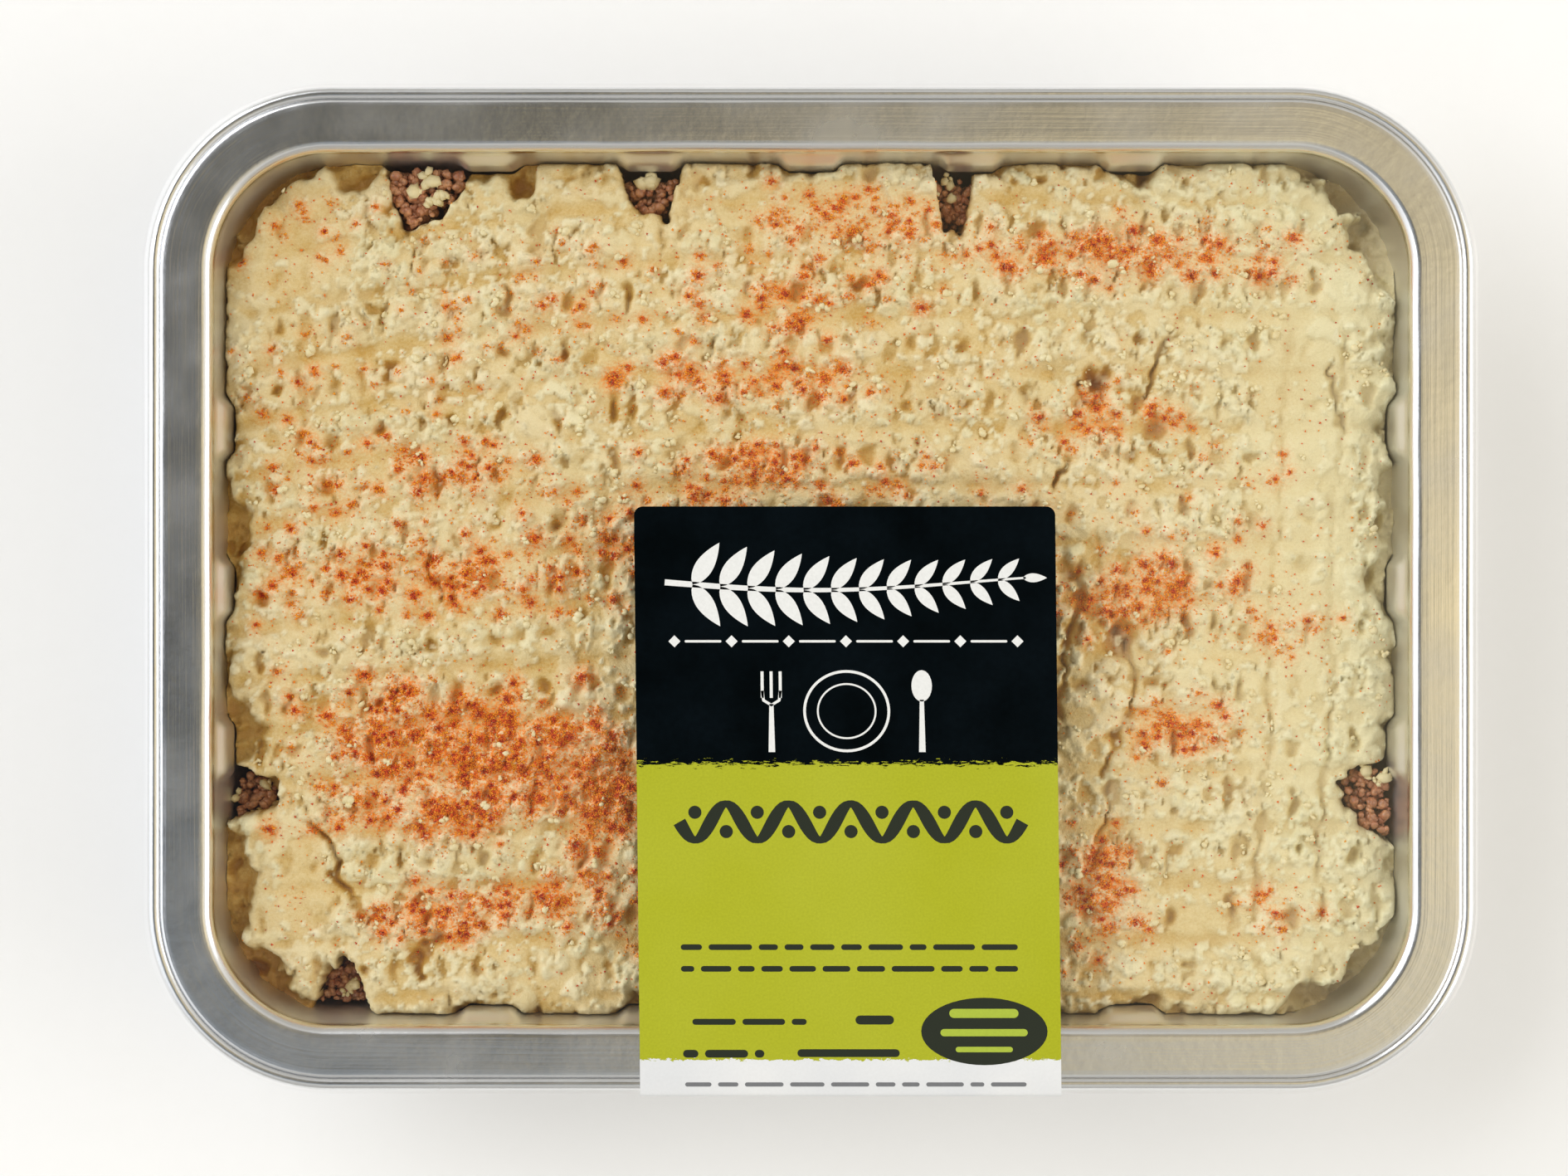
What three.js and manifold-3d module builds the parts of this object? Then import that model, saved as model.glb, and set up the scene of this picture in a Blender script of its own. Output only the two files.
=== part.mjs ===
// A shepherd's pie for two in its own foil tray: a bed of savoury mince, a topping of mashed potato
// rolled into a waffle of grooves and pits, a clear film sealed over the rim, and a paper label folded
// down the front. Millimetres, +Z up, +X along the tray's long side, +Y to the back. The origin is the
// middle of the tray, on the table.
import * as THREE from "three";
import { mergeVertices } from "three/addons/utils/BufferGeometryUtils.js";
import Module from "manifold-3d";

const wasm = await Module();
wasm.setup();

// ---------------------------------------------------------------------------------------------------------
// Driving dimensions
// ---------------------------------------------------------------------------------------------------------
const TRAY = {
  length: 221,
  width: 167,
  height: 36,
  cornerRadius: 30.5,
  foil: 0.45,
  cornerSteps: 5,
};
const BEAD = { radius: 1.15, drop: 0.1 };
const RIM = { valley: 2.3, valleyDrop: 0.5, crown: 5, crownDrop: 0.05, flat: 8.9, bend: 1.9 };
const WALL = { draft: THREE.MathUtils.degToRad(6.5), baseBend: 5 };
const BASE = { footEnd: 22, stepEnd: 23.4, panelLift: 0.8 };
const LUG = { width: 9.4, pitch: 27, depth: 1.4, top: 34, shelf: 1, taper: 3, bottom: 23 };
const LUGS = { onLong: 5, onShort: 3 };

const GAP = 0.35; // between food and foil, and between the two layers
const MINCE = { top: 14.8, lump: 3 };
const MASH = { top: 29.4, swell: 0.7, crag: 0.5, shoulder: 1.5, shoulderDrop: 1.8, spread: 0.35 };
// Column line 0 passes through startX at y = levelY, and row line 0 through startY.
const WAFFLE = { pitchX: 9.7, pitchY: 9.55, startX: 84.4, startY: 55.6, levelY: 41 };
const GROOVE = { depth: 1, width: 1.5 };
const PIT = { depth: 1.6, depthSpread: 1.6, width: 1.4, length: 1.6, lengthSpread: 2.2 };
const STEPS_PER_CELL = 3;
const EDGE_STEP = 3.6; // between the points of the ragged outline of the mash

const FILM = { thickness: 0.2, lift: 0.1, overhang: 0.8, droop: 0.8 };
const LABEL = { width: 70, left: -29.45, back: 13.65, skew: 0.0108, corner: 1.5 };
const PAPER = { thickness: 0.2, lift: 0.1 };
const FLAP = { bend: 0.9, meetsWall: 12, end: 6.5 };

// How far the mash stands off each wall, how much more it does so in the middle of a corner at the left
// and at the right, and where it stops shorter still. A notch's at runs along its side from the middle, in
// the sense of +X or +Y. A notch marked mince is open right down to the filling.
const STAND_OFF = { back: 1.2, left: 0.9, right: 1, front: 1.2 };
const CORNER_OFF = { left: 2.6, right: 4 };
const NOTCHES = [
  { side: "back", at: -77, width: 9, depth: 4.6 },
  { side: "back", at: -65, width: 10.5, depth: 9.5, mince: true },
  { side: "back", at: -48.5, width: 4, depth: 6 },
  { side: "back", at: -27, width: 8, depth: 7.5, mince: true },
  { side: "back", at: 24.8, width: 4, depth: 12.5, mince: true },
  { side: "left", at: 10, width: 8, depth: 5.6 },
  { side: "left", at: -23, width: 12, depth: 4.9 },
  { side: "left", at: -34.5, width: 7, depth: 8, mince: true },
  { side: "left", at: -50, width: 18, depth: 5.2 },
  { side: "right", at: 57, width: 14, depth: 6 },
  { side: "right", at: 10, width: 24, depth: 3.8 },
  { side: "right", at: -36, width: 11, depth: 7, mince: true },
  { side: "front", at: -79, width: 8, depth: 7, mince: true },
  { side: "front", at: 84, width: 10, depth: 4 },
];
// Mince that stands up in a notch, to about the height where it shows.
const MOUNDS = [
  { x: -65, y: 65.5, radius: 6, top: 27.8 },
  { x: -27.5, y: 67, radius: 4.6, top: 23 },
  { x: 24.5, y: 64, radius: 3.4, top: 21 },
  { x: 94.3, y: -36, radius: 4.6, top: 27.8 },
  { x: -94, y: -35, radius: 3.6, top: 21 },
  { x: -79, y: -67, radius: 4.2, top: 21 },
];
// Holes torn in the mash as the roller lifted off.
const TEARS = [
  { x: 48, y: 34.5, radius: 2.8, depth: 4 },
  { x: 58, y: 27, radius: 2.4, depth: 2.6 },
  { x: -66, y: -61.5, radius: 3.2, depth: 3 },
  { x: -57, y: 58.5, radius: 5, depth: 1.8 },
  { x: 52, y: -8, radius: 2.6, depth: 2.4 },
];

// ---------------------------------------------------------------------------------------------------------
// Meshes and solids
// ---------------------------------------------------------------------------------------------------------
function geometryOf(positions, indices) {
  const geometry = new THREE.BufferGeometry();
  geometry.setAttribute("position", new THREE.Float32BufferAttribute(positions, 3));
  geometry.setIndex(indices);
  return geometry;
}

function solidOf(geometry) {
  const bare = geometry.clone();
  bare.deleteAttribute("normal");
  bare.deleteAttribute("uv");
  const merged = mergeVertices(bare, 1e-4);
  const solid = new wasm.Manifold(
    new wasm.Mesh({
      numProp: 3,
      vertProperties: new Float32Array(merged.attributes.position.array),
      triVerts: new Uint32Array(merged.index.array),
    }),
  );
  return solid;
}

function geometryFrom(solid) {
  const { vertProperties, triVerts } = solid.getMesh();
  const geometry = geometryOf(Array.from(vertProperties), Array.from(triVerts));
  geometry.computeVertexNormals();
  return geometry;
}

// A rounded rectangle parallel to the tray's outer edge, anticlockwise, moved in by inset.
function roundedRectangle(inset) {
  const radius = Math.max(TRAY.cornerRadius - inset, 1);
  const reachX = TRAY.length / 2 - inset - radius;
  const reachY = TRAY.width / 2 - inset - radius;
  const points = [];
  for (let corner = 0; corner < 4; corner++) {
    const signX = corner === 0 || corner === 3 ? 1 : -1;
    const signY = corner < 2 ? 1 : -1;
    for (let step = 0; step <= TRAY.cornerSteps; step++) {
      const angle = ((corner + step / TRAY.cornerSteps) * Math.PI) / 2;
      points.push([signX * reachX + radius * Math.cos(angle), signY * reachY + radius * Math.sin(angle)]);
    }
  }
  return points;
}

// A closed solid through rounded rectangles at each [inset, z] of an open profile, flat across both ends.
function stackOfRings(profile) {
  const positions = [];
  const indices = [];
  const count = roundedRectangle(0).length;
  for (const [inset, z] of profile) for (const [x, y] of roundedRectangle(inset)) positions.push(x, y, z);
  for (let ring = 0; ring + 1 < profile.length; ring++)
    for (let i = 0; i < count; i++) {
      const a = ring * count + i;
      const b = ring * count + ((i + 1) % count);
      indices.push(a, b + count, b, a, a + count, b + count);
    }
  const cap = (ring, flip) => {
    const middle = positions.length / 3;
    positions.push(0, 0, profile[ring][1]);
    for (let i = 0; i < count; i++) {
      const a = ring * count + i;
      const b = ring * count + ((i + 1) % count);
      indices.push(...(flip ? [middle, b, a] : [middle, a, b]));
    }
  };
  cap(0, false);
  cap(profile.length - 1, true);
  return solidOf(geometryOf(positions, indices));
}

// The profile moved sideways by distance, to the outer side of a foil whose inner face it is.
function offsetProfile(profile, distance) {
  return profile.map((point, i) => {
    const before = profile[Math.max(i - 1, 0)];
    const after = profile[Math.min(i + 1, profile.length - 1)];
    const normals = [
      [before, point],
      [point, after],
    ]
      .filter(([from, to]) => from !== to)
      .map(([from, to]) => new THREE.Vector2(to[1] - from[1], from[0] - to[0]).normalize());
    const mean = normals.reduce((sum, n) => sum.add(n), new THREE.Vector2()).normalize();
    const reach = distance / Math.max(mean.dot(normals[0]), 0.5);
    return [point[0] + mean.x * reach, point[1] + mean.y * reach];
  });
}

const arc = (centreX, centreZ, radius, from, to, steps) =>
  Array.from({ length: steps + 1 }, (_, i) => {
    const angle = THREE.MathUtils.degToRad(from + ((to - from) * i) / steps);
    return [centreX + radius * Math.cos(angle), centreZ + radius * Math.sin(angle)];
  });

const waver = (a, b) => Math.sin(a * 1.7 + b * 0.9) * 0.5 + Math.sin(a * 0.61 - b * 1.31 + 2) * 0.5;

// Repeatable scatter between 0 and 1 for a whole number.
const scatter = (n) => {
  const value = Math.sin(n * 127.1 + 311.7) * 43758.5453;
  return value - Math.floor(value);
};

// ---------------------------------------------------------------------------------------------------------
// Tray: smooth foil wall, rolled bead, flat sealing flange, recessed base, and lugs that keep a stack apart
// ---------------------------------------------------------------------------------------------------------
const draftSlope = Math.tan(WALL.draft);
const wallTopInset = RIM.flat + RIM.bend * Math.cos(WALL.draft);
const wallTopZ = TRAY.height - RIM.bend + RIM.bend * Math.sin(WALL.draft);
// How far the wall's inner face is from the tray's outer edge at height z.
const wallInset = (z) => wallTopInset + (wallTopZ - z) * draftSlope;
const draftDegrees = THREE.MathUtils.radToDeg(WALL.draft);
const baseBendZ = TRAY.foil + WALL.baseBend;
const wallEndZ = baseBendZ - WALL.baseBend * Math.sin(WALL.draft);
const baseBendInset = wallInset(wallEndZ) + WALL.baseBend * Math.cos(WALL.draft);

// Inner face of the foil, from the valley behind the bead down to the raised panel of the base.
const innerFace = [
  [RIM.valley, TRAY.height - RIM.valleyDrop],
  [RIM.crown, TRAY.height - RIM.crownDrop],
  ...arc(RIM.flat, TRAY.height - RIM.bend, RIM.bend, 90, draftDegrees, 3),
  ...arc(baseBendInset, baseBendZ, WALL.baseBend, 180 + draftDegrees, 270, 3),
  [BASE.footEnd, TRAY.foil],
  [BASE.stepEnd, TRAY.foil + BASE.panelLift],
];
const beadZ = TRAY.height - BEAD.drop - BEAD.radius;
const bead = arc(BEAD.radius, beadZ, BEAD.radius, 40, 300, 6);

// The same lug section serves for the pad inside, the hollow outside and the clearance in the food.
function lugPrism(outward, depth, growth) {
  const { top, shelf, taper, bottom } = LUG;
  const back = wallInset(top) - outward;
  const section = [
    [back, top + growth],
    [wallInset(top) + growth, top + growth],
    [wallInset(top - shelf) + depth, top - shelf + growth],
    [wallInset(bottom + taper) + depth, bottom + taper - growth],
    [wallInset(bottom) + growth, bottom - growth],
    [wallInset(bottom) - outward, bottom - growth],
  ];
  const shape = new THREE.Shape(section.map(([x, z]) => new THREE.Vector2(x, z)));
  const width = LUG.width + 2 * growth;
  const prism = new THREE.ExtrudeGeometry(shape, { depth: width, bevelEnabled: false });
  return prism.translate(0, 0, -width / 2);
}

function eachLug(geometry) {
  const placed = [];
  const sides = [
    { inward: new THREE.Vector3(0, -1, 0), edge: TRAY.width / 2, count: LUGS.onLong },
    { inward: new THREE.Vector3(0, 1, 0), edge: TRAY.width / 2, count: LUGS.onLong },
    { inward: new THREE.Vector3(-1, 0, 0), edge: TRAY.length / 2, count: LUGS.onShort },
    { inward: new THREE.Vector3(1, 0, 0), edge: TRAY.length / 2, count: LUGS.onShort },
  ];
  const up = new THREE.Vector3(0, 0, 1);
  for (const { inward, edge, count } of sides) {
    const along = inward.clone().cross(up);
    for (let i = 0; i < count; i++) {
      const shift = (i - (count - 1) / 2) * LUG.pitch;
      const place = new THREE.Matrix4().makeBasis(inward, up, along);
      place.setPosition(inward.clone().multiplyScalar(-edge).addScaledVector(along, shift));
      placed.push(solidOf(geometry.clone().applyMatrix4(place)));
    }
  }
  return wasm.Manifold.union(placed);
}

function makeTray() {
  const outerFace = offsetProfile(innerFace, TRAY.foil);
  const rings = [...innerFace.slice().reverse(), ...bead, ...outerFace];
  const pads = eachLug(lugPrism(TRAY.foil / 2, LUG.depth, 0));
  const hollows = eachLug(lugPrism(3 * TRAY.foil, LUG.depth - TRAY.foil, -TRAY.foil / 2));
  return stackOfRings(rings).add(pads).subtract(hollows);
}

// The room inside the tray up to height top, kept clear of the foil.
function roomInside(top) {
  const floor = TRAY.foil + BASE.panelLift + GAP;
  const rings = [
    [baseBendInset - 1, floor],
    ...arc(baseBendInset, baseBendZ, WALL.baseBend - GAP, 240, 180 + draftDegrees, 2),
    [wallInset(top) + GAP, top],
  ];
  return stackOfRings(rings.reverse());
}

// ---------------------------------------------------------------------------------------------------------
// Mince: a bed across the base, with mounds of lumps where a notch of the mash shows it
// ---------------------------------------------------------------------------------------------------------
// The lumps of one mound, grown by growth: layers that draw in as they rise.
function moundLumps(mound, seed, growth) {
  const lumps = [];
  const layers = Math.ceil((mound.top - MINCE.top - 2) / (0.9 * MINCE.lump));
  for (let layer = 0; layer < layers; layer++) {
    const spread = mound.radius * (1 - (0.5 * layer) / layers);
    const around = Math.max(2, Math.round((spread * 2.2) / MINCE.lump));
    for (let k = 0; k < around; k++) {
      const draw = seed * 40 + layer * 9 + k;
      const angle = ((k + 0.5 * scatter(draw)) / around) * 2 * Math.PI;
      const away = spread * 0.55;
      const size = MINCE.lump * (0.85 + 0.3 * scatter(draw + 300)) + growth;
      const turn = new THREE.Euler(draw, draw * 1.7, draw * 0.6);
      const lump = new THREE.IcosahedronGeometry(size, 0);
      lump.scale(1, 0.85, 0.8);
      lump.applyQuaternion(new THREE.Quaternion().setFromEuler(turn));
      lump.translate(mound.x + away * Math.cos(angle), mound.y + away * Math.sin(angle), 0);
      lumps.push(solidOf(lump.translate(0, 0, MINCE.top + layer * MINCE.lump * 0.9 + 0.4)));
    }
  }
  return lumps;
}

function makeMince(room) {
  const mounds = MOUNDS.flatMap((mound, seed) => moundLumps(mound, seed, 0));
  const heap = wasm.Manifold.union([roomInside(MINCE.top), ...mounds]).intersect(room);
  return heap.decompose().sort((a, b) => b.volume() - a.volume())[0];
}

// ---------------------------------------------------------------------------------------------------------
// Mash: a slab whose top is a warped waffle, cut to a ragged outline that stops short of the foil
// ---------------------------------------------------------------------------------------------------------
// The roller ran a little askew: its rows dip to the left and its columns lean in the middle.
const columnLean = (x) => 0.03 + 0.1 * Math.exp(-(((x - 10) / 45) ** 2));
const rowDip = (x, y) => 0.0011 * Math.min(x, 0) ** 2 * THREE.MathUtils.smoothstep(y, -80, 60);

// The point on the table under column line u and row line v of the waffle.
function wafflePoint(u, v) {
  let x = WAFFLE.startX + u * WAFFLE.pitchX;
  let y = WAFFLE.startY + v * WAFFLE.pitchY;
  for (let pass = 0; pass < 4; pass++) {
    x = WAFFLE.startX + u * WAFFLE.pitchX + columnLean(x) * (y - WAFFLE.levelY);
    y = WAFFLE.startY + v * WAFFLE.pitchY - rowDip(x, y);
  }
  return [x, y];
}

// How far a point lies inside the straight-sided room of the tray, as a distance to the wall.
function toWall(x, y) {
  const inset = wallInset(MASH.top);
  const radius = TRAY.cornerRadius - inset;
  const overX = Math.abs(x) - (TRAY.length / 2 - inset - radius);
  const overY = Math.abs(y) - (TRAY.width / 2 - inset - radius);
  const outside = Math.hypot(Math.max(overX, 0), Math.max(overY, 0));
  return radius - outside - Math.min(Math.max(overX, overY), 0);
}

function mashHeight(u, v, x, y) {
  const bell = (distance, width) => Math.exp(-((distance / width) ** 2));
  const row = Math.abs(v - Math.round(v)) * WAFFLE.pitchY;
  const rowDepth = GROOVE.depth * (0.8 + 0.4 * waver(y / 9, x / 40)) * bell(row, GROOVE.width);
  // The roller's teeth leave one pit on each column line, half way between two rows.
  const draw = Math.round(u) * 13 + Math.floor(v) * 57;
  const column = Math.abs(u - Math.round(u)) * WAFFLE.pitchX;
  const along = Math.abs(v - Math.floor(v) - 0.5) * WAFFLE.pitchY;
  const pitDepth = PIT.depth + PIT.depthSpread * (scatter(draw) - 0.5);
  const pitLength = PIT.length + PIT.lengthSpread * scatter(draw + 400);
  const pit = pitDepth * bell(column, PIT.width) * bell(along, pitLength);
  const torn = (hole) => hole.depth * bell(Math.hypot(x - hole.x, y - hole.y), hole.radius);
  const tear = TEARS.reduce((sum, hole) => sum + torn(hole), 0);
  const crag = MASH.crag * (scatter(Math.round(u * 8) * 71 + Math.round(v * 8) * 17) - 0.5) * 2;
  const swell = MASH.swell * waver(x / 34, y / 27);
  const fall = MASH.shoulderDrop * Math.exp(-Math.max(toWall(x, y) - 2, 0) / MASH.shoulder);
  return MASH.top + swell + crag - Math.max(rowDepth, pit) - tear - fall;
}

function mashSlab(bottom) {
  // The grid reaches a little past the wall on every side, also where its lines lean or dip.
  const [atEnds, atFront, pastBack] = [TRAY.length / 2 - 11, TRAY.width / 2 - 4, TRAY.width / 2];
  const firstU = Math.floor((-atEnds - WAFFLE.startX) / WAFFLE.pitchX);
  const lastU = Math.ceil((atEnds - WAFFLE.startX) / WAFFLE.pitchX);
  const firstV = Math.floor((-atFront - WAFFLE.startY) / WAFFLE.pitchY);
  const lastV = Math.ceil((pastBack - WAFFLE.startY) / WAFFLE.pitchY);
  const columns = (lastU - firstU) * STEPS_PER_CELL + 1;
  const rows = (lastV - firstV) * STEPS_PER_CELL + 1;
  const positions = [];
  const indices = [];
  for (let j = 0; j < rows; j++)
    for (let i = 0; i < columns; i++) {
      const [u, v] = [firstU + i / STEPS_PER_CELL, firstV + j / STEPS_PER_CELL];
      const [x, y] = wafflePoint(u, v);
      positions.push(x, y, mashHeight(u, v, x, y));
    }
  for (let j = 0; j + 1 < rows; j++)
    for (let i = 0; i + 1 < columns; i++) {
      const a = j * columns + i;
      indices.push(a, a + 1, a + columns + 1, a, a + columns + 1, a + columns);
    }
  // The rim of the grid goes straight down to the flat underside, which is one fan.
  const rim = [];
  for (let i = 0; i < columns; i++) rim.push(i);
  for (let j = 1; j < rows; j++) rim.push(j * columns + columns - 1);
  for (let i = columns - 2; i >= 0; i--) rim.push((rows - 1) * columns + i);
  for (let j = rows - 2; j > 0; j--) rim.push(j * columns);
  const below = positions.length / 3;
  for (const top of rim) positions.push(positions[top * 3], positions[top * 3 + 1], bottom);
  const middle = positions.length / 3;
  positions.push(0, 0, bottom);
  rim.forEach((top, k) => {
    const next = (k + 1) % rim.length;
    indices.push(top, below + k, below + next, top, below + next, rim[next]);
    indices.push(middle, below + next, below + k);
  });
  return solidOf(geometryOf(positions, indices));
}

// How far the edge of the mash stands off the wall at a point of the wall, at its top or low down.
function standOff(x, y, along, isLow) {
  const isEnd = Math.abs(x) / TRAY.length > Math.abs(y) / TRAY.width;
  const endSide = x > 0 ? "right" : "left";
  const longSide = y > 0 ? "back" : "front";
  const side = isEnd ? endSide : longSide;
  const at = isEnd ? y : x;
  const overX = Math.max(Math.abs(x) - TRAY.length / 2 + TRAY.cornerRadius, 0);
  const overY = Math.max(Math.abs(y) - TRAY.width / 2 + TRAY.cornerRadius, 0);
  const inCorner = (2 * overX * overY) / (overX ** 2 + overY ** 2);
  const ragged = 0.6 * Math.sin(along / 7.3 + 1) + 1.3 * (scatter(Math.round(along)) - 0.5);
  const wander = STAND_OFF[side] + CORNER_OFF[endSide] * inCorner + ragged;
  const here = NOTCHES.filter((notch) => notch.side === side);
  const cut = (notch) => {
    const share = Math.abs(at - notch.at) / (notch.width / 2);
    return notch.depth * THREE.MathUtils.smoothstep(1.5 - share, 0, 1);
  };
  if (!isLow) return Math.max(wander, ...here.map(cut));
  return Math.max(MASH.spread * wander, ...here.filter((notch) => notch.mince).map(cut), 0.2);
}

// A column of mash from bottom to top whose sides spread outwards to the wall as they go down.
function mashColumn(bottom, top) {
  const inset = wallInset(MASH.top);
  const radius = TRAY.cornerRadius - inset;
  const [reachX, reachY] = [TRAY.length / 2 - inset - radius, TRAY.width / 2 - inset - radius];
  const walk = new THREE.Path();
  walk.absarc(reachX, reachY, radius, 0, Math.PI / 2, false);
  walk.absarc(-reachX, reachY, radius, Math.PI / 2, Math.PI, false);
  walk.absarc(-reachX, -reachY, radius, Math.PI, 1.5 * Math.PI, false);
  walk.absarc(reachX, -reachY, radius, 1.5 * Math.PI, 2 * Math.PI, false);
  walk.closePath();
  const length = walk.getLength();
  const count = Math.round(length / EDGE_STEP);
  const positions = [0, 0, bottom, 0, 0, top];
  const indices = [];
  for (let i = 0; i < count; i++) {
    const at = walk.getPointAt(i / count);
    const tangent = walk.getTangentAt(i / count);
    for (const z of [bottom, top]) {
      const off = standOff(at.x, at.y, (i / count) * length, z === bottom);
      positions.push(at.x - tangent.y * off, at.y + tangent.x * off, z);
    }
    const [low, next] = [2 + 2 * i, 2 + 2 * ((i + 1) % count)];
    indices.push(low, next, next + 1, low, next + 1, low + 1, 0, next, low, 1, low + 1, next + 1);
  }
  return solidOf(geometryOf(positions, indices));
}

function makeMash(room) {
  const bottom = MINCE.top + GAP;
  const column = mashColumn(bottom - 1, MASH.top + 3);
  const cut = mashSlab(bottom).intersect(column).intersect(room);
  const sockets = MOUNDS.map((mound, seed) => wasm.Manifold.hull(moundLumps(mound, seed, GAP)));
  const clear = cut.subtract(wasm.Manifold.union(sockets));
  return clear.decompose().sort((a, b) => b.volume() - a.volume())[0];
}

// ---------------------------------------------------------------------------------------------------------
// Film: clear sheet sealed on the flange, its trimmed edge drooping just past the bead
// ---------------------------------------------------------------------------------------------------------
const filmTop = TRAY.height + FILM.lift + FILM.thickness;

function makeFilm() {
  const top = [
    [-FILM.overhang, filmTop - FILM.droop],
    [-FILM.overhang * 0.55, filmTop - FILM.droop * 0.35],
    [0.4, filmTop],
    [RIM.flat, filmTop],
  ];
  return stackOfRings([...top.slice().reverse(), ...offsetProfile(top, FILM.thickness)]);
}

// ---------------------------------------------------------------------------------------------------------
// Label: paper strip laid across the film, over the front rim and down to the wall of the tray
// ---------------------------------------------------------------------------------------------------------
function makeLabel() {
  const front = -TRAY.width / 2 - FILM.overhang;
  const low = filmTop + PAPER.lift;
  const wallFace = (z) => -TRAY.width / 2 + wallInset(z) - TRAY.foil - 2 * PAPER.lift - PAPER.thickness;
  const corner = LABEL.corner;
  // Upper face of the strip as [y, z], from its back edge to the end of the flap.
  const topZ = low + PAPER.thickness;
  const turn = FLAP.bend;
  const path = [
    [LABEL.back, topZ],
    [LABEL.back - corner * 0.3, topZ],
    [LABEL.back - corner, topZ],
    [front, topZ],
    [front - turn * 0.7, topZ - turn * 0.35],
    [front - turn, topZ - turn * 1.3],
    [front - turn * 0.8, topZ - turn * 3],
    [wallFace(FLAP.meetsWall), FLAP.meetsWall],
    [wallFace(FLAP.end + corner), FLAP.end + corner],
    [wallFace(FLAP.end), FLAP.end],
  ];
  // Lower face: the same path moved to the inside of the fold.
  const under = path.map(([y, z], i) => {
    const [fromY, fromZ] = path[Math.max(i - 1, 0)];
    const [toY, toZ] = path[Math.min(i + 1, path.length - 1)];
    const normal = new THREE.Vector2(fromZ - toZ, toY - fromY).normalize();
    return [y + normal.x * PAPER.thickness, z + normal.y * PAPER.thickness];
  });
  const positions = [];
  let run = 0;
  path.forEach(([y, z], i) => {
    if (i) run += Math.hypot(y - path[i - 1][0], z - path[i - 1][1]);
    const nip = i === 0 ? corner : i === 1 ? corner * 0.3 : 0;
    const left = LABEL.left + LABEL.skew * run + nip;
    const right = LABEL.left + LABEL.width + LABEL.skew * run - nip;
    const [lowY, lowZ] = under[i];
    positions.push(left, y, z, right, y, z, right, lowY, lowZ, left, lowY, lowZ);
  });
  const indices = [];
  const last = (path.length - 1) * 4;
  for (let a = 0; a < last; a += 4)
    for (let side = 0; side < 4; side++) {
      const [p, q] = [a + side, a + ((side + 1) % 4)];
      indices.push(p, p + 4, q + 4, p, q + 4, q);
    }
  indices.push(0, 1, 2, 0, 2, 3, last, last + 2, last + 1, last, last + 3, last + 2);
  return solidOf(geometryOf(positions, indices));
}

// ---------------------------------------------------------------------------------------------------------
// The object
// ---------------------------------------------------------------------------------------------------------
const LOOKS = {
  foil: new THREE.MeshStandardMaterial({ color: 0xb9bbbd, metalness: 1, roughness: 0.32 }),
  mince: new THREE.MeshStandardMaterial({ color: 0x6b3a26, roughness: 0.6 }),
  mash: new THREE.MeshStandardMaterial({ color: 0xeadcab, roughness: 0.65 }),
  film: new THREE.MeshStandardMaterial({ roughness: 0.08, transparent: true, opacity: 0.15 }),
  label: new THREE.MeshStandardMaterial({ color: 0xb5c933, roughness: 0.35 }),
};

function named(name, solid, material) {
  const mesh = new THREE.Mesh(geometryFrom(solid), material);
  mesh.name = name;
  return mesh;
}

const foodRoom = roomInside(TRAY.height - 4).subtract(eachLug(lugPrism(TRAY.foil, LUG.depth + GAP, GAP)));
const pie = new THREE.Group();
pie.add(named("foil_tray", makeTray(), LOOKS.foil));
pie.add(named("mince_filling", makeMince(foodRoom), LOOKS.mince));
pie.add(named("mash_topping", makeMash(foodRoom), LOOKS.mash));
pie.add(named("lid_film", makeFilm(), LOOKS.film));
pie.add(named("paper_label", makeLabel(), LOOKS.label));

export default pie;
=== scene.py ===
"""A chilled shepherd's pie as it is sold: mince under waffled mash in a foil tray, clear film and a label.

The frame is in metres, +Z up, +X along the tray. Sizes here are in millimetres, and MM makes metres of them.
"""

import math

import bmesh
import bpy
import numpy as np
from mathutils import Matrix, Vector


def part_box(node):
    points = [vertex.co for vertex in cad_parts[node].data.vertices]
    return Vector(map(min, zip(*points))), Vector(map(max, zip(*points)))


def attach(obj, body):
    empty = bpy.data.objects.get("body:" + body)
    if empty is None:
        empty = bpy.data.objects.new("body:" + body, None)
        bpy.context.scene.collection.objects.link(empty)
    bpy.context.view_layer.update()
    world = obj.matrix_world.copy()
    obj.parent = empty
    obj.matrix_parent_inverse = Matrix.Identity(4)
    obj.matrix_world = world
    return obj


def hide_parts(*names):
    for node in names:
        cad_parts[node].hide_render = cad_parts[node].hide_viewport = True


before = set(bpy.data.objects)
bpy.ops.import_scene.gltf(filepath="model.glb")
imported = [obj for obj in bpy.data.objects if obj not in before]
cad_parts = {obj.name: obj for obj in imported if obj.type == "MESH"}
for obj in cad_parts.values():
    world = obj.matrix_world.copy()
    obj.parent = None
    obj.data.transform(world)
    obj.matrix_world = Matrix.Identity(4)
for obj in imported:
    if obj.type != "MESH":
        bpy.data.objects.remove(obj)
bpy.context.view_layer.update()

# ---- Foil tray ----
# One sheet of smoothwall aluminium, pressed over a former, its edge rolled into a bead. Inside the bead is a
# flat sealing flange. The steep wall has lugs that keep stacked trays apart, and the base a raised panel.

MM = 0.001
half_length, half_width, tray_height = 110.5, 83.5, 36.0
corner_radius = 30.5
side_spacing, corner_steps = 2.2, 25  # points along a side, and round a corner
foil = 0.45
bead_radius, bead_drop = 1.15, 0.1
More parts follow.
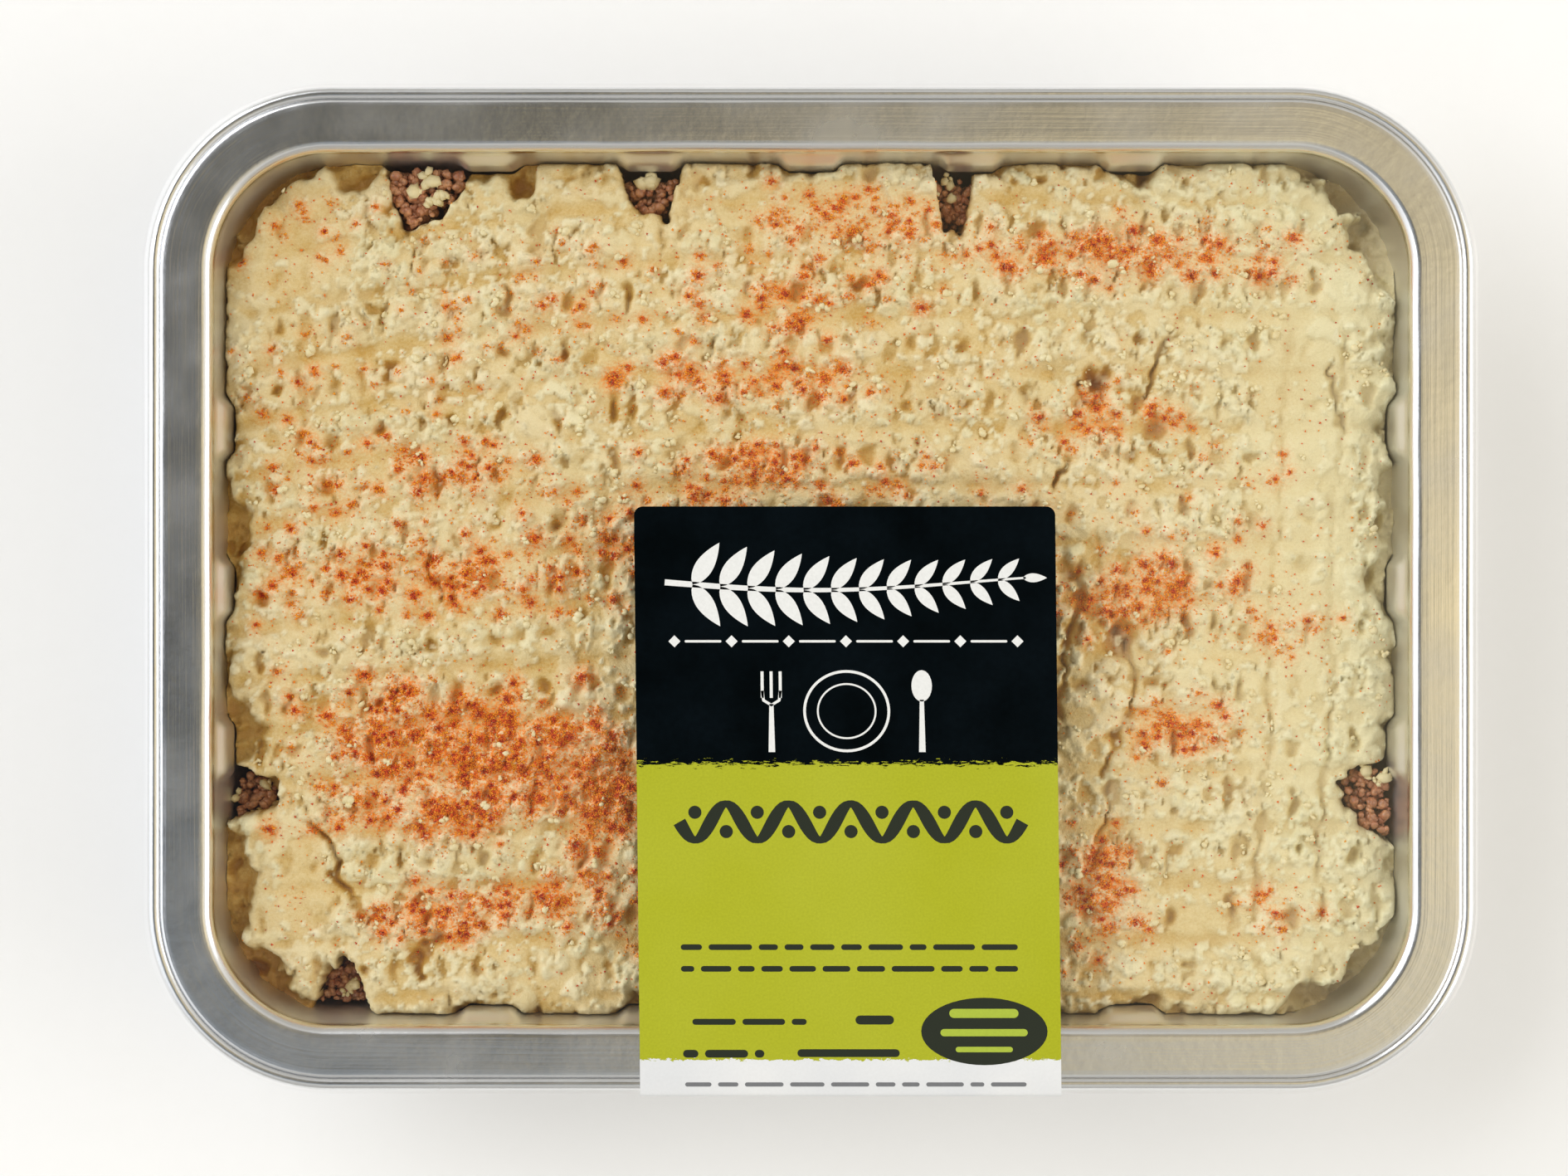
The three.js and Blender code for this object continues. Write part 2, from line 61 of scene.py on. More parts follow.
# Insets from the tray's outer edge: the dip inside the bead, and the end of the flat flange.
valley, flat, valley_drop = 2.0, 8.9, 0.45
rim_bend, base_bend = 1.9, 5.0
draft = math.radians(6.5)
foot_end, step_end, panel_lift = 22.0, 23.4, 0.8
lug_width, lug_pitch, lug_depth = 9.4, 27.0, 1.4
lugs_on_long, lugs_on_short = 5, 3
# Heights at which a lug begins, stands out in full, starts to slope back and ends.
lug_foot, lug_full, lug_shelf, lug_top = 23.0, 26.0, 30.6, 34.2
wall_top_inset = flat + rim_bend * math.cos(draft)
wall_top_z = tray_height - rim_bend + rim_bend * math.sin(draft)
reach_x, reach_y = half_length - corner_radius, half_width - corner_radius


def smooth(value):
    """0 below 0, 1 above 1, and an even slope between them."""
    share = np.clip(value, 0, 1)
    return share * share * (3 - 2 * share)


def between(field, i, j, across, along):
    """A grid's value inside its cell i, j, by the shares across and along it. It repeats past its ends."""
    rows, columns = field.shape
    i, j, next_i, next_j = i % rows, j % columns, (i + 1) % rows, (j + 1) % columns
    near = field[i, j] * (1 - across) + field[next_i, j] * across
    far = field[i, next_j] * (1 - across) + field[next_i, next_j] * across
    return near * (1 - along) + far * along


def clouds(x, y, size, seed):
    """Smooth noise from -1 to 1, in blobs about size across."""
    lattice = np.random.default_rng(seed).uniform(-1, 1, (256, 256))
    turn = 0.6 + seed * 0.37
    u = (x * math.cos(turn) - y * math.sin(turn)) / size + 1301.7
    v = (x * math.sin(turn) + y * math.cos(turn)) / size + 1257.3
    i, j = np.floor(u).astype(int), np.floor(v).astype(int)
    return between(lattice, i, j, smooth(u - i), smooth(v - j))


def wall_inset(z):
    """How far the wall's inner face is from the tray's outer edge at height z."""
    return wall_top_inset + (wall_top_z - z) * math.tan(draft)


def arc(centre_inset, centre_z, radius, start, end, steps):
    angles = np.radians(np.linspace(start, end, steps + 1))
    return [(centre_inset + radius * math.cos(a), centre_z + radius * math.sin(a)) for a in angles]


def outer_side(profile):
    """The foil's outer face, where the profile is its inner one."""
    points = np.array(profile)
    steps = np.diff(points, axis=0)
    normals = np.stack([steps[:, 1], -steps[:, 0]], axis=1)
    normals /= np.linalg.norm(normals, axis=1)[:, None]
    before, after = np.vstack([normals[:1], normals]), np.vstack([normals, normals[-1:]])
    mean = before + after
    mean /= np.linalg.norm(mean, axis=1)[:, None]
    reach = foil / np.maximum((mean * before).sum(axis=1), 0.5)
    return (points + mean * reach[:, None]).tolist()


def lug_centres(count):
    return (np.arange(count) - (count - 1) / 2) * lug_pitch


def lug_push(along, count, soft=2.6):
    """1 in front of a lug and 0 between lugs, along a side that has count lugs with soft shoulders."""
    away = np.min([np.abs(along - centre) for centre in lug_centres(count)], axis=0)
    return smooth((lug_width / 2 + soft / 2 - away) / soft)


def side_places(reach, count):
    """Places along a straight side, closer together at the edges of its lugs."""
    edges = [centre + half for centre in lug_centres(count) for half in (-lug_width / 2, lug_width / 2)]
    close = [edge + step for edge in edges for step in np.linspace(-1.5, 1.5, 7)]
    plain = np.linspace(-reach, reach, round(reach / side_spacing))
    return np.unique(np.round([place for place in [*plain, *close] if abs(place) <= reach], 2))


def walk_round():
    """Round the tray, anticlockwise: points that the corners turn about, outward normals, share of a lug."""
    pivots, normals, pushes = [], [], []
    for turn in range(4):
        angle = turn * math.pi / 2
        normal = np.array([round(math.cos(angle)), round(math.sin(angle))])
        along = np.array([-normal[1], normal[0]])
        is_end = turn % 2 == 0
        reach, out, count = (reach_y, reach_x, lugs_on_short) if is_end else (reach_x, reach_y, lugs_on_long)
        for place in side_places(reach, count):
            pivots.append(normal * out + along * place)
            normals.append(normal)
            pushes.append(float(lug_push(place, count)))
        for corner_angle in angle + np.radians(np.linspace(0, 90, corner_steps + 1)[1:-1]):
            pivots.append(normal * out + along * reach)
            normals.append([math.cos(corner_angle), math.sin(corner_angle)])
            pushes.append(0.0)
    return np.array(pivots), np.array(normals), np.array(pushes)


def tray_profile():
    """(inset, z) from the middle of the base up the inner face, round the bead, and back outside the foil."""
    base_z = foil + base_bend
    wall_end_z = base_z - base_bend * math.sin(draft)
    bend_inset = wall_inset(wall_end_z) + base_bend * math.cos(draft)
    slope = math.degrees(draft)
    wall_levels = [*np.linspace(wall_top_z - 0.1, 21, 19), *np.linspace(19, wall_end_z + 2, 4)]
    inner = [
        (valley, tray_height - valley_drop),
        (valley + 0.35, tray_height - 0.14),
        (valley + 0.7, tray_height - 0.05),
        (valley + 1.6, tray_height - 0.03),
        (flat - 1.4, tray_height - 0.01),
        *arc(flat, tray_height - rim_bend, rim_bend, 90, slope, 10),
        *[(wall_inset(z), z) for z in wall_levels],
        *arc(bend_inset, base_z, base_bend, 180 + slope, 270, 8),
        (foot_end - 0.4, foil),
        (foot_end, foil + 0.06),
        ((foot_end + step_end) / 2, foil + panel_lift / 2),
        (step_end, foil + panel_lift - 0.06),
        (step_end + 0.4, foil + panel_lift),
        (step_end + 1.5, foil + panel_lift),
    ]
    bead = arc(bead_radius, tray_height - bead_drop - bead_radius, bead_radius, 40, 300, 22)
    return [*inner[::-1], *bead, *outer_side(inner)]


def tray_rings():
    pivots, normals, pushes = walk_round()
    rings = []
    for inset, z in tray_profile():
        rise = smooth((z - lug_foot) / (lug_full - lug_foot))
        fall = smooth((lug_top - z) / (lug_top - lug_shelf))
        press = lug_depth * pushes * min(rise, fall) * (inset > flat)
        spot = pivots + normals * (corner_radius - inset - press)[:, None]
        # Handling has left the flange and the wall very slightly uneven.
        uneven = smooth((inset - valley) / 2) * smooth((z - 8) / 10)
        spot = spot + normals * (uneven * 0.07 * clouds(spot[:, 0], spot[:, 1] + z, 11, 3))[:, None]
        height = z + uneven * 0.04 * (clouds(spot[:, 0], spot[:, 1], 9, 4) - 1)
        rings.append(np.column_stack([spot, height]))
    return rings


def skin(rings):
    """Points and faces of a closed body through rings of points, flat across its two ends."""
    count = len(rings[0])
    start = np.arange(count)
    after = (start + 1) % count
    quads = []
    for first in range(0, (len(rings) - 1) * count, count):
        a, b = first + start, first + after
        quads.append(np.column_stack([a, b, b + count, a + count]))
    last = (len(rings) - 1) * count
    ends = [list(range(count))[::-1], list(range(last, last + count))]
    return np.concatenate(rings), np.concatenate(quads).tolist() + ends


def new_piece(name, points, faces, material):
    """A smooth mesh object of these points, in millimetres, with this material."""
    mesh = bpy.data.meshes.new(name)
    mesh.from_pydata((np.asarray(points) * MM).tolist(), [], faces)
    mesh.shade_smooth()
    mesh.materials.append(material)
    made = bpy.data.objects.new(name, mesh)
    bpy.context.collection.objects.link(made)
    return made


def give_values(piece, name, values):
    """Gives each point of a piece a number that its material reads by this name."""
    layer = piece.data.attributes.new(name, "FLOAT", "POINT")
    layer.data.foreach_set("value", np.asarray(values).astype(np.float32))


def ink(*screen):
    """A colour as it looks on a screen, red, green and blue from 0 to 255, as the shader's linear values."""
    shares = [value / 255 for value in screen]
    return (*[c / 12.92 if c <= 0.04045 else ((c + 0.055) / 1.055) ** 2.4 for c in shares], 1)


def new_material(name, **sockets):
    """A material whose Principled shader has these plain values: the material, its node tree, that shader."""
    made = bpy.data.materials.new(name)
    made.use_nodes = True
    shader = made.node_tree.nodes["Principled BSDF"]
    for socket, value in sockets.items():
        shader.inputs[socket.replace("_", " ")].default_value = value
    return made, made.node_tree, shader


def place(tree, kind, inputs=None, **settings):
    """Adds a shader node. Each input is a plain value, or the output of another node to link."""
    made = tree.nodes.new("ShaderNode" + kind)
    for name, value in settings.items():
        setattr(made, name, value)
    for name, value in (inputs or {}).items():
        if isinstance(value, bpy.types.NodeSocket):
            tree.links.new(value, made.inputs[name])
        else:
            made.inputs[name].default_value = value
    return made


def remap(tree, value, low, high, to_low=0.0, to_high=1.0):
    """The output of a node that maps low..high onto to_low..to_high and holds its ends."""
    spans = {"Value": value, "From Min": low, "From Max": high, "To Min": to_low, "To Max": to_high}
    return place(tree, "MapRange", spans).outputs["Result"]


def maths(tree, operation, first, second=0.5):
    return place(tree, "Math", {0: first, 1: second}, operation=operation).outputs[0]


def noise(tree, spot, scale, detail, **more):
    return place(tree, "TexNoise", {"Vector": spot, "Scale": scale, "Detail": detail, **more}).outputs["Fac"]


def attribute(tree, name):
    return place(tree, "Attribute", attribute_name=name).outputs["Fac"]


def own_spot(tree):
    """Where each point of the surface is on the object, in metres."""
    return place(tree, "TexCoord").outputs["Object"]


def add_bump(tree, shader, height, strength, distance):
    bump = place(tree, "Bump", {"Height": height, "Strength": strength, "Distance": distance})
    tree.links.new(bump.outputs["Normal"], shader.inputs["Normal"])


def aluminium_foil():
    """Rolled foil: bright metal with a patchy polish, fine rolling marks and very fine dimples."""
    made, tree, shader = new_material("aluminium_foil", Base_Color=ink(234, 235, 237), Metallic=1.0)
    spot = own_spot(tree)
    polish = remap(tree, noise(tree, spot, 60.0, 4.0), 0.3, 0.7, 0.16, 0.28)
    # The steep wall was drawn down over the former, which took its polish.
    axes = place(tree, "SeparateXYZ", {0: spot}).outputs
    drawn = remap(tree, axes["Z"], wall_top_z * MM, (wall_top_z - 1.5) * MM, 0.0, 0.2)
    tree.links.new(maths(tree, "ADD", polish, drawn), shader.inputs["Roughness"])
    # The marks follow the rim: they change slowly along it and quickly across it.
    slow_x, slow_y = (maths(tree, "MULTIPLY", axes[axis], 25.0) for axis in "XY")
    quick = maths(tree, "MULTIPLY", attribute(tree, "inset"), 2.2)
    along_rim = place(tree, "CombineXYZ", {"X": slow_x, "Y": slow_y, "Z": quick}).outputs[0]
    relief = maths(tree, "ADD", noise(tree, spot, 500.0, 3.0), noise(tree, along_rim, 1.0, 3.0))
    add_bump(tree, shader, relief, 0.15, 0.0002)
    return made


tray_walk = tray_rings()
tray = new_piece("pressed_foil_tray", *skin(tray_walk), aluminium_foil())
give_values(tray, "inset", np.repeat([inset for inset, _ in tray_profile()], len(tray_walk[0])))
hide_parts("foil_tray")
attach(tray, "root")

# ---- Mince ----
# Beef mince cooked in gravy and spread over the base. It shows where the mash stops short of the wall, heaped
# in moist crumbs of one to two millimetres on a flat bed.

food_gap = 0.35
mash_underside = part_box("mash_topping")[0][2] / MM
bed_top = mash_underside - food_gap - 0.5
bed_step = 1.1
mash_foot, mash_gap = 26.0, 0.15  # height at which the mash meets the wall, and the gap left there
grid_inset = 9.0  # from the tray's outer edge, just outside all of the food
# Side of the tray, place along it, width and depth of each notch in the mash that is open down to the mince.
mince_notches = [
    ("back", -65, 10.5, 9.5),
    ("back", -27, 8, 7.5),
    ("back", 24, 5.2, 10),
    ("left", -34.5, 7, 8),
    ("right", -36, 11, 7),
    ("front", -79, 8, 7),
]
# Place, reach and top of the mince heaped in each of them.
mounds = [
    (-65, 67, 8.6, 27.8),
    (-27.5, 68.5, 6.8, 26),
    (24.5, 66, 5.5, 25),
    (-94.8, -35, 6, 23),
    (94.8, -36, 7.4, 27.5),
    (-79, -69, 6.5, 23),
]


def past_straight(x, y):
    """How far past the straight part of each side a point lies, along X and along Y."""
    return np.abs(x) - reach_x, np.abs(y) - reach_y


def inside_wall(x, y, inset):
    """How far inside a rounded rectangle, inset from the tray's outer edge, a point lies. Lugs count."""
    over_x, over_y = past_straight(x, y)
    outside = np.hypot(np.maximum(over_x, 0), np.maximum(over_y, 0))
    depth = corner_radius - inset - outside - np.minimum(np.maximum(over_x, over_y), 0)
    lug = np.where(over_x > over_y, lug_push(y, lugs_on_short, 3.2), lug_push(x, lugs_on_long, 3.2))
    return depth - (lug_depth + 0.1) * lug


def notch_depth(x, y, notches):
    """How far the notches push the edge of the mash in from the wall, beside each point."""
    over_x, over_y = past_straight(x, y)
    at_end = over_x > over_y
    beside = {"right": at_end & (x > 0), "left": at_end & (x <= 0)}
    beside |= {"back": ~at_end & (y > 0), "front": ~at_end & (y <= 0)}
    deepest = np.zeros(np.shape(x))
    for side, at, width, depth in notches:
        along = y if side in ("left", "right") else x
        cut = depth * smooth(1.5 - np.abs(along - at) / (width / 2))
        deepest = np.maximum(deepest, np.where(beside[side], cut, 0))
    return deepest


def mash_room(x, y):
    """How far a point lies inside the outline of the mash, which follows the wall and the open notches."""
    depth = inside_wall(x, y, wall_inset(mash_foot) + mash_gap)
    cut = notch_depth(x, y, mince_notches)
    ragged = smooth(cut / 2) * (2.6 * clouds(x, y, 3.6, 11) + 1.3 * clouds(x, y, 1.4, 12))
    return np.minimum(depth, depth - cut + ragged)


def mince_room(x, y):
    return inside_wall(x, y, wall_inset(bed_top) + food_gap)


def food_grid(step, room):
    """A grid over the tray: x, y and which points are inside. Those just outside move onto the edge."""
    halves = (half_length - grid_inset, half_width - grid_inset)
    x, y = np.meshgrid(*[np.arange(-half, half + step, step) for half in halves], indexing="ij")
    depth = room(x, y)
    inside = depth >= 0
    near = ~inside & (depth > -2 * step)
    at_x, at_y, nudge = x[near], y[near], step / 4
    for _ in range(3):
        short = room(at_x, at_y)
        slope_x = (room(at_x + nudge, at_y) - room(at_x - nudge, at_y)) / (2 * nudge)
        slope_y = (room(at_x, at_y + nudge) - room(at_x, at_y - nudge)) / (2 * nudge)
        pull = -short / np.maximum(slope_x**2 + slope_y**2, 0.3)
        at_x, at_y = at_x + np.clip(pull * slope_x, -step, step), at_y + np.clip(pull * slope_y, -step, step)
    for field, moved in ((x, at_x), (y, at_y)):
        field[near] = np.clip(moved, field[near] - 0.8 * step, field[near] + 0.8 * step)
    return x, y, inside


def outer_loop(starts, ends):
    """The longest closed walk along directed edges, as point numbers."""
    after = {}
    for start, end in zip(starts.tolist(), ends.tolist()):
        after.setdefault(start, []).append(end)
    longest = []
    while after:
        here = next(iter(after))
        walk = []
        while here in after:
            walk.append(here)
            following = after[here].pop()
            if not after[here]:
                del after[here]
            here = following
        longest = max(longest, walk, key=len)
    return np.array(longest)


def near_edge(inside):
    """Grid points beside an inside point, corners included."""
    steps = (-1, 0, 1)
    return np.any([np.roll(inside, (i, j), axis=(0, 1)) for i in steps for j in steps], axis=0)


def food_block(x, y, inside, top, side):
    """A closed body: its top over the grid, a side through rings of (inward shift, z), a flat underside.

    Gives its points, its faces, and for each point the number of the grid point that it came from.
    """
    number = np.arange(x.size).reshape(x.shape)
    low, high = slice(None, -1), slice(1, None)
    corners = [(low, low), (high, low), (high, high), (low, high)]
    whole = np.all([(inside | near_edge(inside))[corner] for corner in corners], axis=0)
    kept = whole & np.any([inside[corner] for corner in corners], axis=0)
    quads = np.stack([number[corner][kept] for corner in corners], axis=1)
    starts, ends = quads.ravel(), np.roll(quads, -1, axis=1).ravel()
    lone = ~np.isin(starts * x.size + ends, ends * x.size + starts)
    loop = outer_loop(starts[lone], ends[lone])
    used = np.unique(quads)
    renumber = np.zeros(x.size, dtype=int)
    renumber[used] = np.arange(used.size)
    x, y, top = x.ravel(), y.ravel(), top.ravel()
    edge = np.column_stack([x[loop], y[loop]])
    pivot = np.clip(edge, (-reach_x, -reach_y), (reach_x, reach_y))
    outward = (edge - pivot) / np.maximum(np.linalg.norm(edge - pivot, axis=1), 1)[:, None]
    points = [np.column_stack([x[used], y[used], top[used]])]
    faces = renumber[quads].tolist()
    ring = renumber[loop]
    for level, (shift, z) in enumerate(side):
        points.append(np.column_stack([edge - outward * shift, np.full(loop.size, z)]))
        below = used.size + level * loop.size + np.arange(loop.size)
        faces += np.column_stack([np.roll(ring, -1), ring, below, np.roll(below, -1)]).tolist()
        ring = below
    faces.append(ring[::-1].tolist())
    return np.concatenate(points), faces, np.concatenate([used, *[loop] * len(side)])


def mince_block():
    x, y, inside = food_grid(bed_step, mince_room)
    top = bed_top + 0.35 * clouds(x, y, 2.6, 21)
    start_inset = wall_inset(bed_top) + food_gap
    base_z = foil + base_bend
    bend_inset = wall_inset(base_z) + base_bend
    bend = base_bend - food_gap
    side = [(wall_inset(z) + food_gap - start_inset, z) for z in (11.0, base_z + 0.2)]
    for angle in np.radians([25.0, 40.0, 55.0]):
        side.append((bend_inset - bend * math.cos(angle) - start_inset, base_z - bend * math.sin(angle)))
    side[-1] = (side[-1][0], foil + panel_lift + food_gap)
    points, faces, _ = food_block(x, y, inside, top, side)
    return points, faces


def round_shape(subdivisions):
    """Points and triangles of a ball of radius 1."""
    ball = bmesh.new()
    bmesh.ops.create_icosphere(ball, subdivisions=subdivisions, radius=1)
    points = np.array([point.co[:] for point in ball.verts])
    faces = np.array([[point.index for point in face.verts] for face in ball.faces])
    ball.free()
    return points, faces


def pile(shape, spots, sizes, draw, dents, squash=(0.65, 1.15)):
    """Many copies of a small shape, each turned, squashed and dented in its own way: points and faces."""
    points, faces = shape
    count = len(spots)
    turns, _ = np.linalg.qr(draw.normal(size=(count, 3, 3)))
    turns[:, :, 0] *= np.linalg.det(turns)[:, None]
    dented = 1 + dents * draw.uniform(-1, 1, (count, len(points), 1))
    own = points[None] * draw.uniform(*squash, (count, 1, 3)) * dented
    placed = np.einsum("nij,nkj->nki", turns, own) * sizes[:, None, None] + spots[:, None]
    numbers = faces[None] + (np.arange(count) * len(points))[:, None, None]
    return placed.reshape(-1, 3), numbers.reshape(-1, faces.shape[1]).tolist()


def mince_crumbs():
    """Crumbs of meat heaped in the notches, the lowest ones sunk in the bed."""
    draw = np.random.default_rng(8)
    spots, sizes = [], []
    for at_x, at_y, reach, high in mounds:
        count = round(12.5 * reach**2)
        far = reach * np.sqrt(draw.random(count))
        turn = draw.uniform(0, 2 * math.pi, count)
        heap = bed_top + (high - 1.2 - bed_top) * smooth(3.4 * (1 - far / reach))
        height = bed_top + (heap - bed_top) * draw.random(count) ** 0.35
        spots.append(np.column_stack([at_x + far * np.cos(turn), at_y + far * np.sin(turn), height]))
        sizes.append(draw.uniform(0.42, 1.0, count))
    spots, sizes = np.concatenate(spots), np.concatenate(sizes)
    x, y, z = spots.T
    off_wall = inside_wall(x, y, wall_inset(z - sizes) + food_gap) > 1.15 * sizes
    clear = (mash_room(x, y) < -0.8 * sizes) & off_wall
    return pile(round_shape(2), spots[clear], sizes[clear], draw, 0.2)


def join(*bodies):
    """Points and faces of several bodies as one mesh."""
    points, faces, start = [], [], 0
    for body_points, body_faces in bodies:
        points.append(body_points)
        faces += [[number + start for number in face] for face in body_faces]
        start += len(body_points)
    return np.concatenate(points), faces


def mix(tree, factor, first, second, blend="MIX"):
    """The colour output of a Mix node."""
    made = place(tree, "Mix", {0: factor, 6: first, 7: second}, data_type="RGBA", blend_type=blend)
    return made.outputs[2]


def uneven_tone():
    """Node group: a colour broken up by soft patches of another, and darkened by a fine grain."""
    group = bpy.data.node_groups.new("Uneven tone", "ShaderNodeTree")
    takes = {"Colour": "Color", "Patch Colour": "Color"}
    takes |= {"Patch Scale": "Float", "Grain Scale": "Float", "Grain Depth": "Float"}
    for way, sockets in (("INPUT", takes), ("OUTPUT", {"Colour": "Color", "Grain": "Float"})):
        for name, kind in sockets.items():
            group.interface.new_socket(name, in_out=way, socket_type="NodeSocket" + kind)
    given = group.nodes.new("NodeGroupInput").outputs
    spot = own_spot(group)
    patches = remap(group, noise(group, spot, given["Patch Scale"], 5.0), 0.35, 0.65)
    broad = mix(group, patches, given["Colour"], given["Patch Colour"])
    grain = noise(group, spot, given["Grain Scale"], 3.0)
    loss = maths(group, "MULTIPLY", remap(group, grain, 0.3, 0.7, 1.0, 0.0), given["Grain Depth"])
    out = group.nodes.new("NodeGroupOutput").inputs
    group.links.new(mix(group, 1.0, broad, maths(group, "SUBTRACT", 1.0, loss), "MULTIPLY"), out["Colour"])
    group.links.new(grain, out["Grain"])
    return group


uneven = uneven_tone()


def add_tone(tree, colour, patch_colour, patch_scale, grain_scale, grain_depth):
    """Places the uneven tone in a material: its colour output and its grain output."""
    values = {"Colour": colour, "Patch Colour": patch_colour, "Patch Scale": patch_scale}
    values |= {"Grain Scale": grain_scale, "Grain Depth": grain_depth}
    made = place(tree, "Group", values, node_tree=uneven)
    return made.outputs["Colour"], made.outputs["Grain"]


def toned_material(name, tone, relief=None, **sockets):
    """A material coloured by the uneven tone, whose grain also stands out by this strength and distance."""
    made, tree, shader = new_material(name, **sockets)
    colour, grain = add_tone(tree, *tone)
    tree.links.new(colour, shader.inputs["Base Color"])
    if relief:
        add_bump(tree, shader, grain, *relief)
    return made


# Browned meat, moist with gravy.
mince_tone = (ink(186, 114, 76), ink(226, 164, 116), 520.0, 1700.0, 0.45)
cooked_mince = toned_material(
    "cooked_mince", mince_tone, (0.5, 0.0004), Roughness=0.36, Coat_Weight=0.35, Coat_Roughness=0.2
)
mince = new_piece("heaped_mince", *join(mince_block(), mince_crumbs()), cooked_mince)
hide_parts("mince_filling")
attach(mince, "root")

# ---- Mash ----
# Stiff mashed potato, spread over the mince and rolled with a waffle roller: smooth grooves run along it, a
# row of pits lies between each two, and the mash that clung to the roller has torn up into plates and crumbs.

mash_step = 0.365
mash_level, swell = 29.4, 0.7
stand_off = {"right": 0.8, "left": 0.5, "back": 0.7, "front": 0.9}
corner_off = (2.6, 4.0)  # more than that in the corners, at the left and at the right
# Side, place along it, width and depth of the places where only the top of the mash stops short.
shallow_notches = [
    ("back", -77, 9, 4.6),
    ("back", -48.5, 4, 6),
    ("left", 10, 8, 5.6),
    ("left", -23, 12, 4.9),
    ("left", -50, 18, 5.2),
    ("right", 57, 14, 6),
    ("right", 10, 24, 3.8),
    ("front", 84, 10, 4),
]
pitch_x, pitch_y = 9.7, 9.55
start_x, start_y, level_y = 84.4, 55.6, 41.0  # x of a column of pits where y is level_y, and y of a row
groove_depth, groove_width = 0.6, 1.25
# Plates that the roller tore up: size, seed, the level that the noise must pass, thickness and paleness, a
# painted light.
torn_plates = [(9.0, 25, -0.1, 0.36, 0.25), (4.4, 37, 0.02, 0.42, 0.45)]
# Crumbs torn up with them: size, seed, the share of them that is there and how high they stand.
torn_crumbs = [(2.8, 31, 0.18, 0.6), (1.7, 43, 0.28, 0.5), (1.0, 47, 0.22, 0.32)]
# Holes torn in the mash: place, reach and depth.
tears = [
    (48, 34.5, 2.2, 3.4),
    (58, 27, 2, 1.8),
    (-66, -61.5, 2, 2.6),
    (-63, -58.5, 1.3, 2),
    (52, -8, 2.6, 2.4),
]
# Cracks run roughly along Y: x at the middle, y at both ends, how far x leans for each mm of y, and depth.
cracks = [
    (42.5, 15, 23.5, 0.15, 2),
    (51.5, -46, -6, 0.12, 1.1),
    (43, -24, 6, 0.1, 1.6),
    (59, 30, 44, 0.5, 1.6),
    (88, 24, 40, -0.1, 1.4),
    (-63, -4, 12, -0.2, 1),
    (-29, 26, 33, 0.3, 1.4),
    (-80, -54, -38, -0.45, 1.8),
]
# Smooth slabs that the roller pressed but didn't tear: middle, and half their size along X and Y.
slabs = [(-88, 58, 12, 12), (3, 64, 19, 5), (-88, -52, 8, 15), (82, 12, 9, 40)]


def bell(distance, width):
    return np.exp(-((distance / width) ** 2))


def waver(a, b):
    return np.sin(a * 1.7 + b * 0.9) * 0.5 + np.sin(a * 0.61 - b * 1.31 + 2) * 0.5


def scatter(number):
    """A draw from 0 to 1 that belongs to a whole number."""
    value = np.sin(number * 127.1 + 311.7) * 43758.5453
    return value - np.floor(value)


def rough(x, y, size, seed):
    """Ragged noise, about -1 to 1, whose largest blobs are about size across."""
    field = clouds(x, y, size, seed) + 0.55 * clouds(x, y, size / 2.1, seed + 1)
    return (field + 0.3 * clouds(x, y, size / 4.3, seed + 2)) / 1.3


def lumps(x, y, size, seed):
    """Packed lumps about size across: how far a point is from its lump's middle, and the lump's own draw."""
    cells = 128
    draws = np.random.default_rng(seed).random((cells, cells, 3))
    u = x / size + cells + 0.3 * clouds(x, y, size * 0.6, seed + 1)
    v = y / size + cells + 0.3 * clouds(x, y, size * 0.6, seed + 2)
    i, j = np.floor(u).astype(int), np.floor(v).astype(int)
    nearest, own = np.full(u.shape, 9.0), np.zeros(u.shape)
    for di in (-1, 0, 1):
        for dj in (-1, 0, 1):
            lump = draws[(i + di) % cells, (j + dj) % cells]
            away = np.hypot(i + di + lump[..., 0] - u, j + dj + lump[..., 1] - v)
            closer = away < nearest
            nearest = np.where(closer, away, nearest)
            own = np.where(closer, lump[..., 2], own)
    return nearest, own


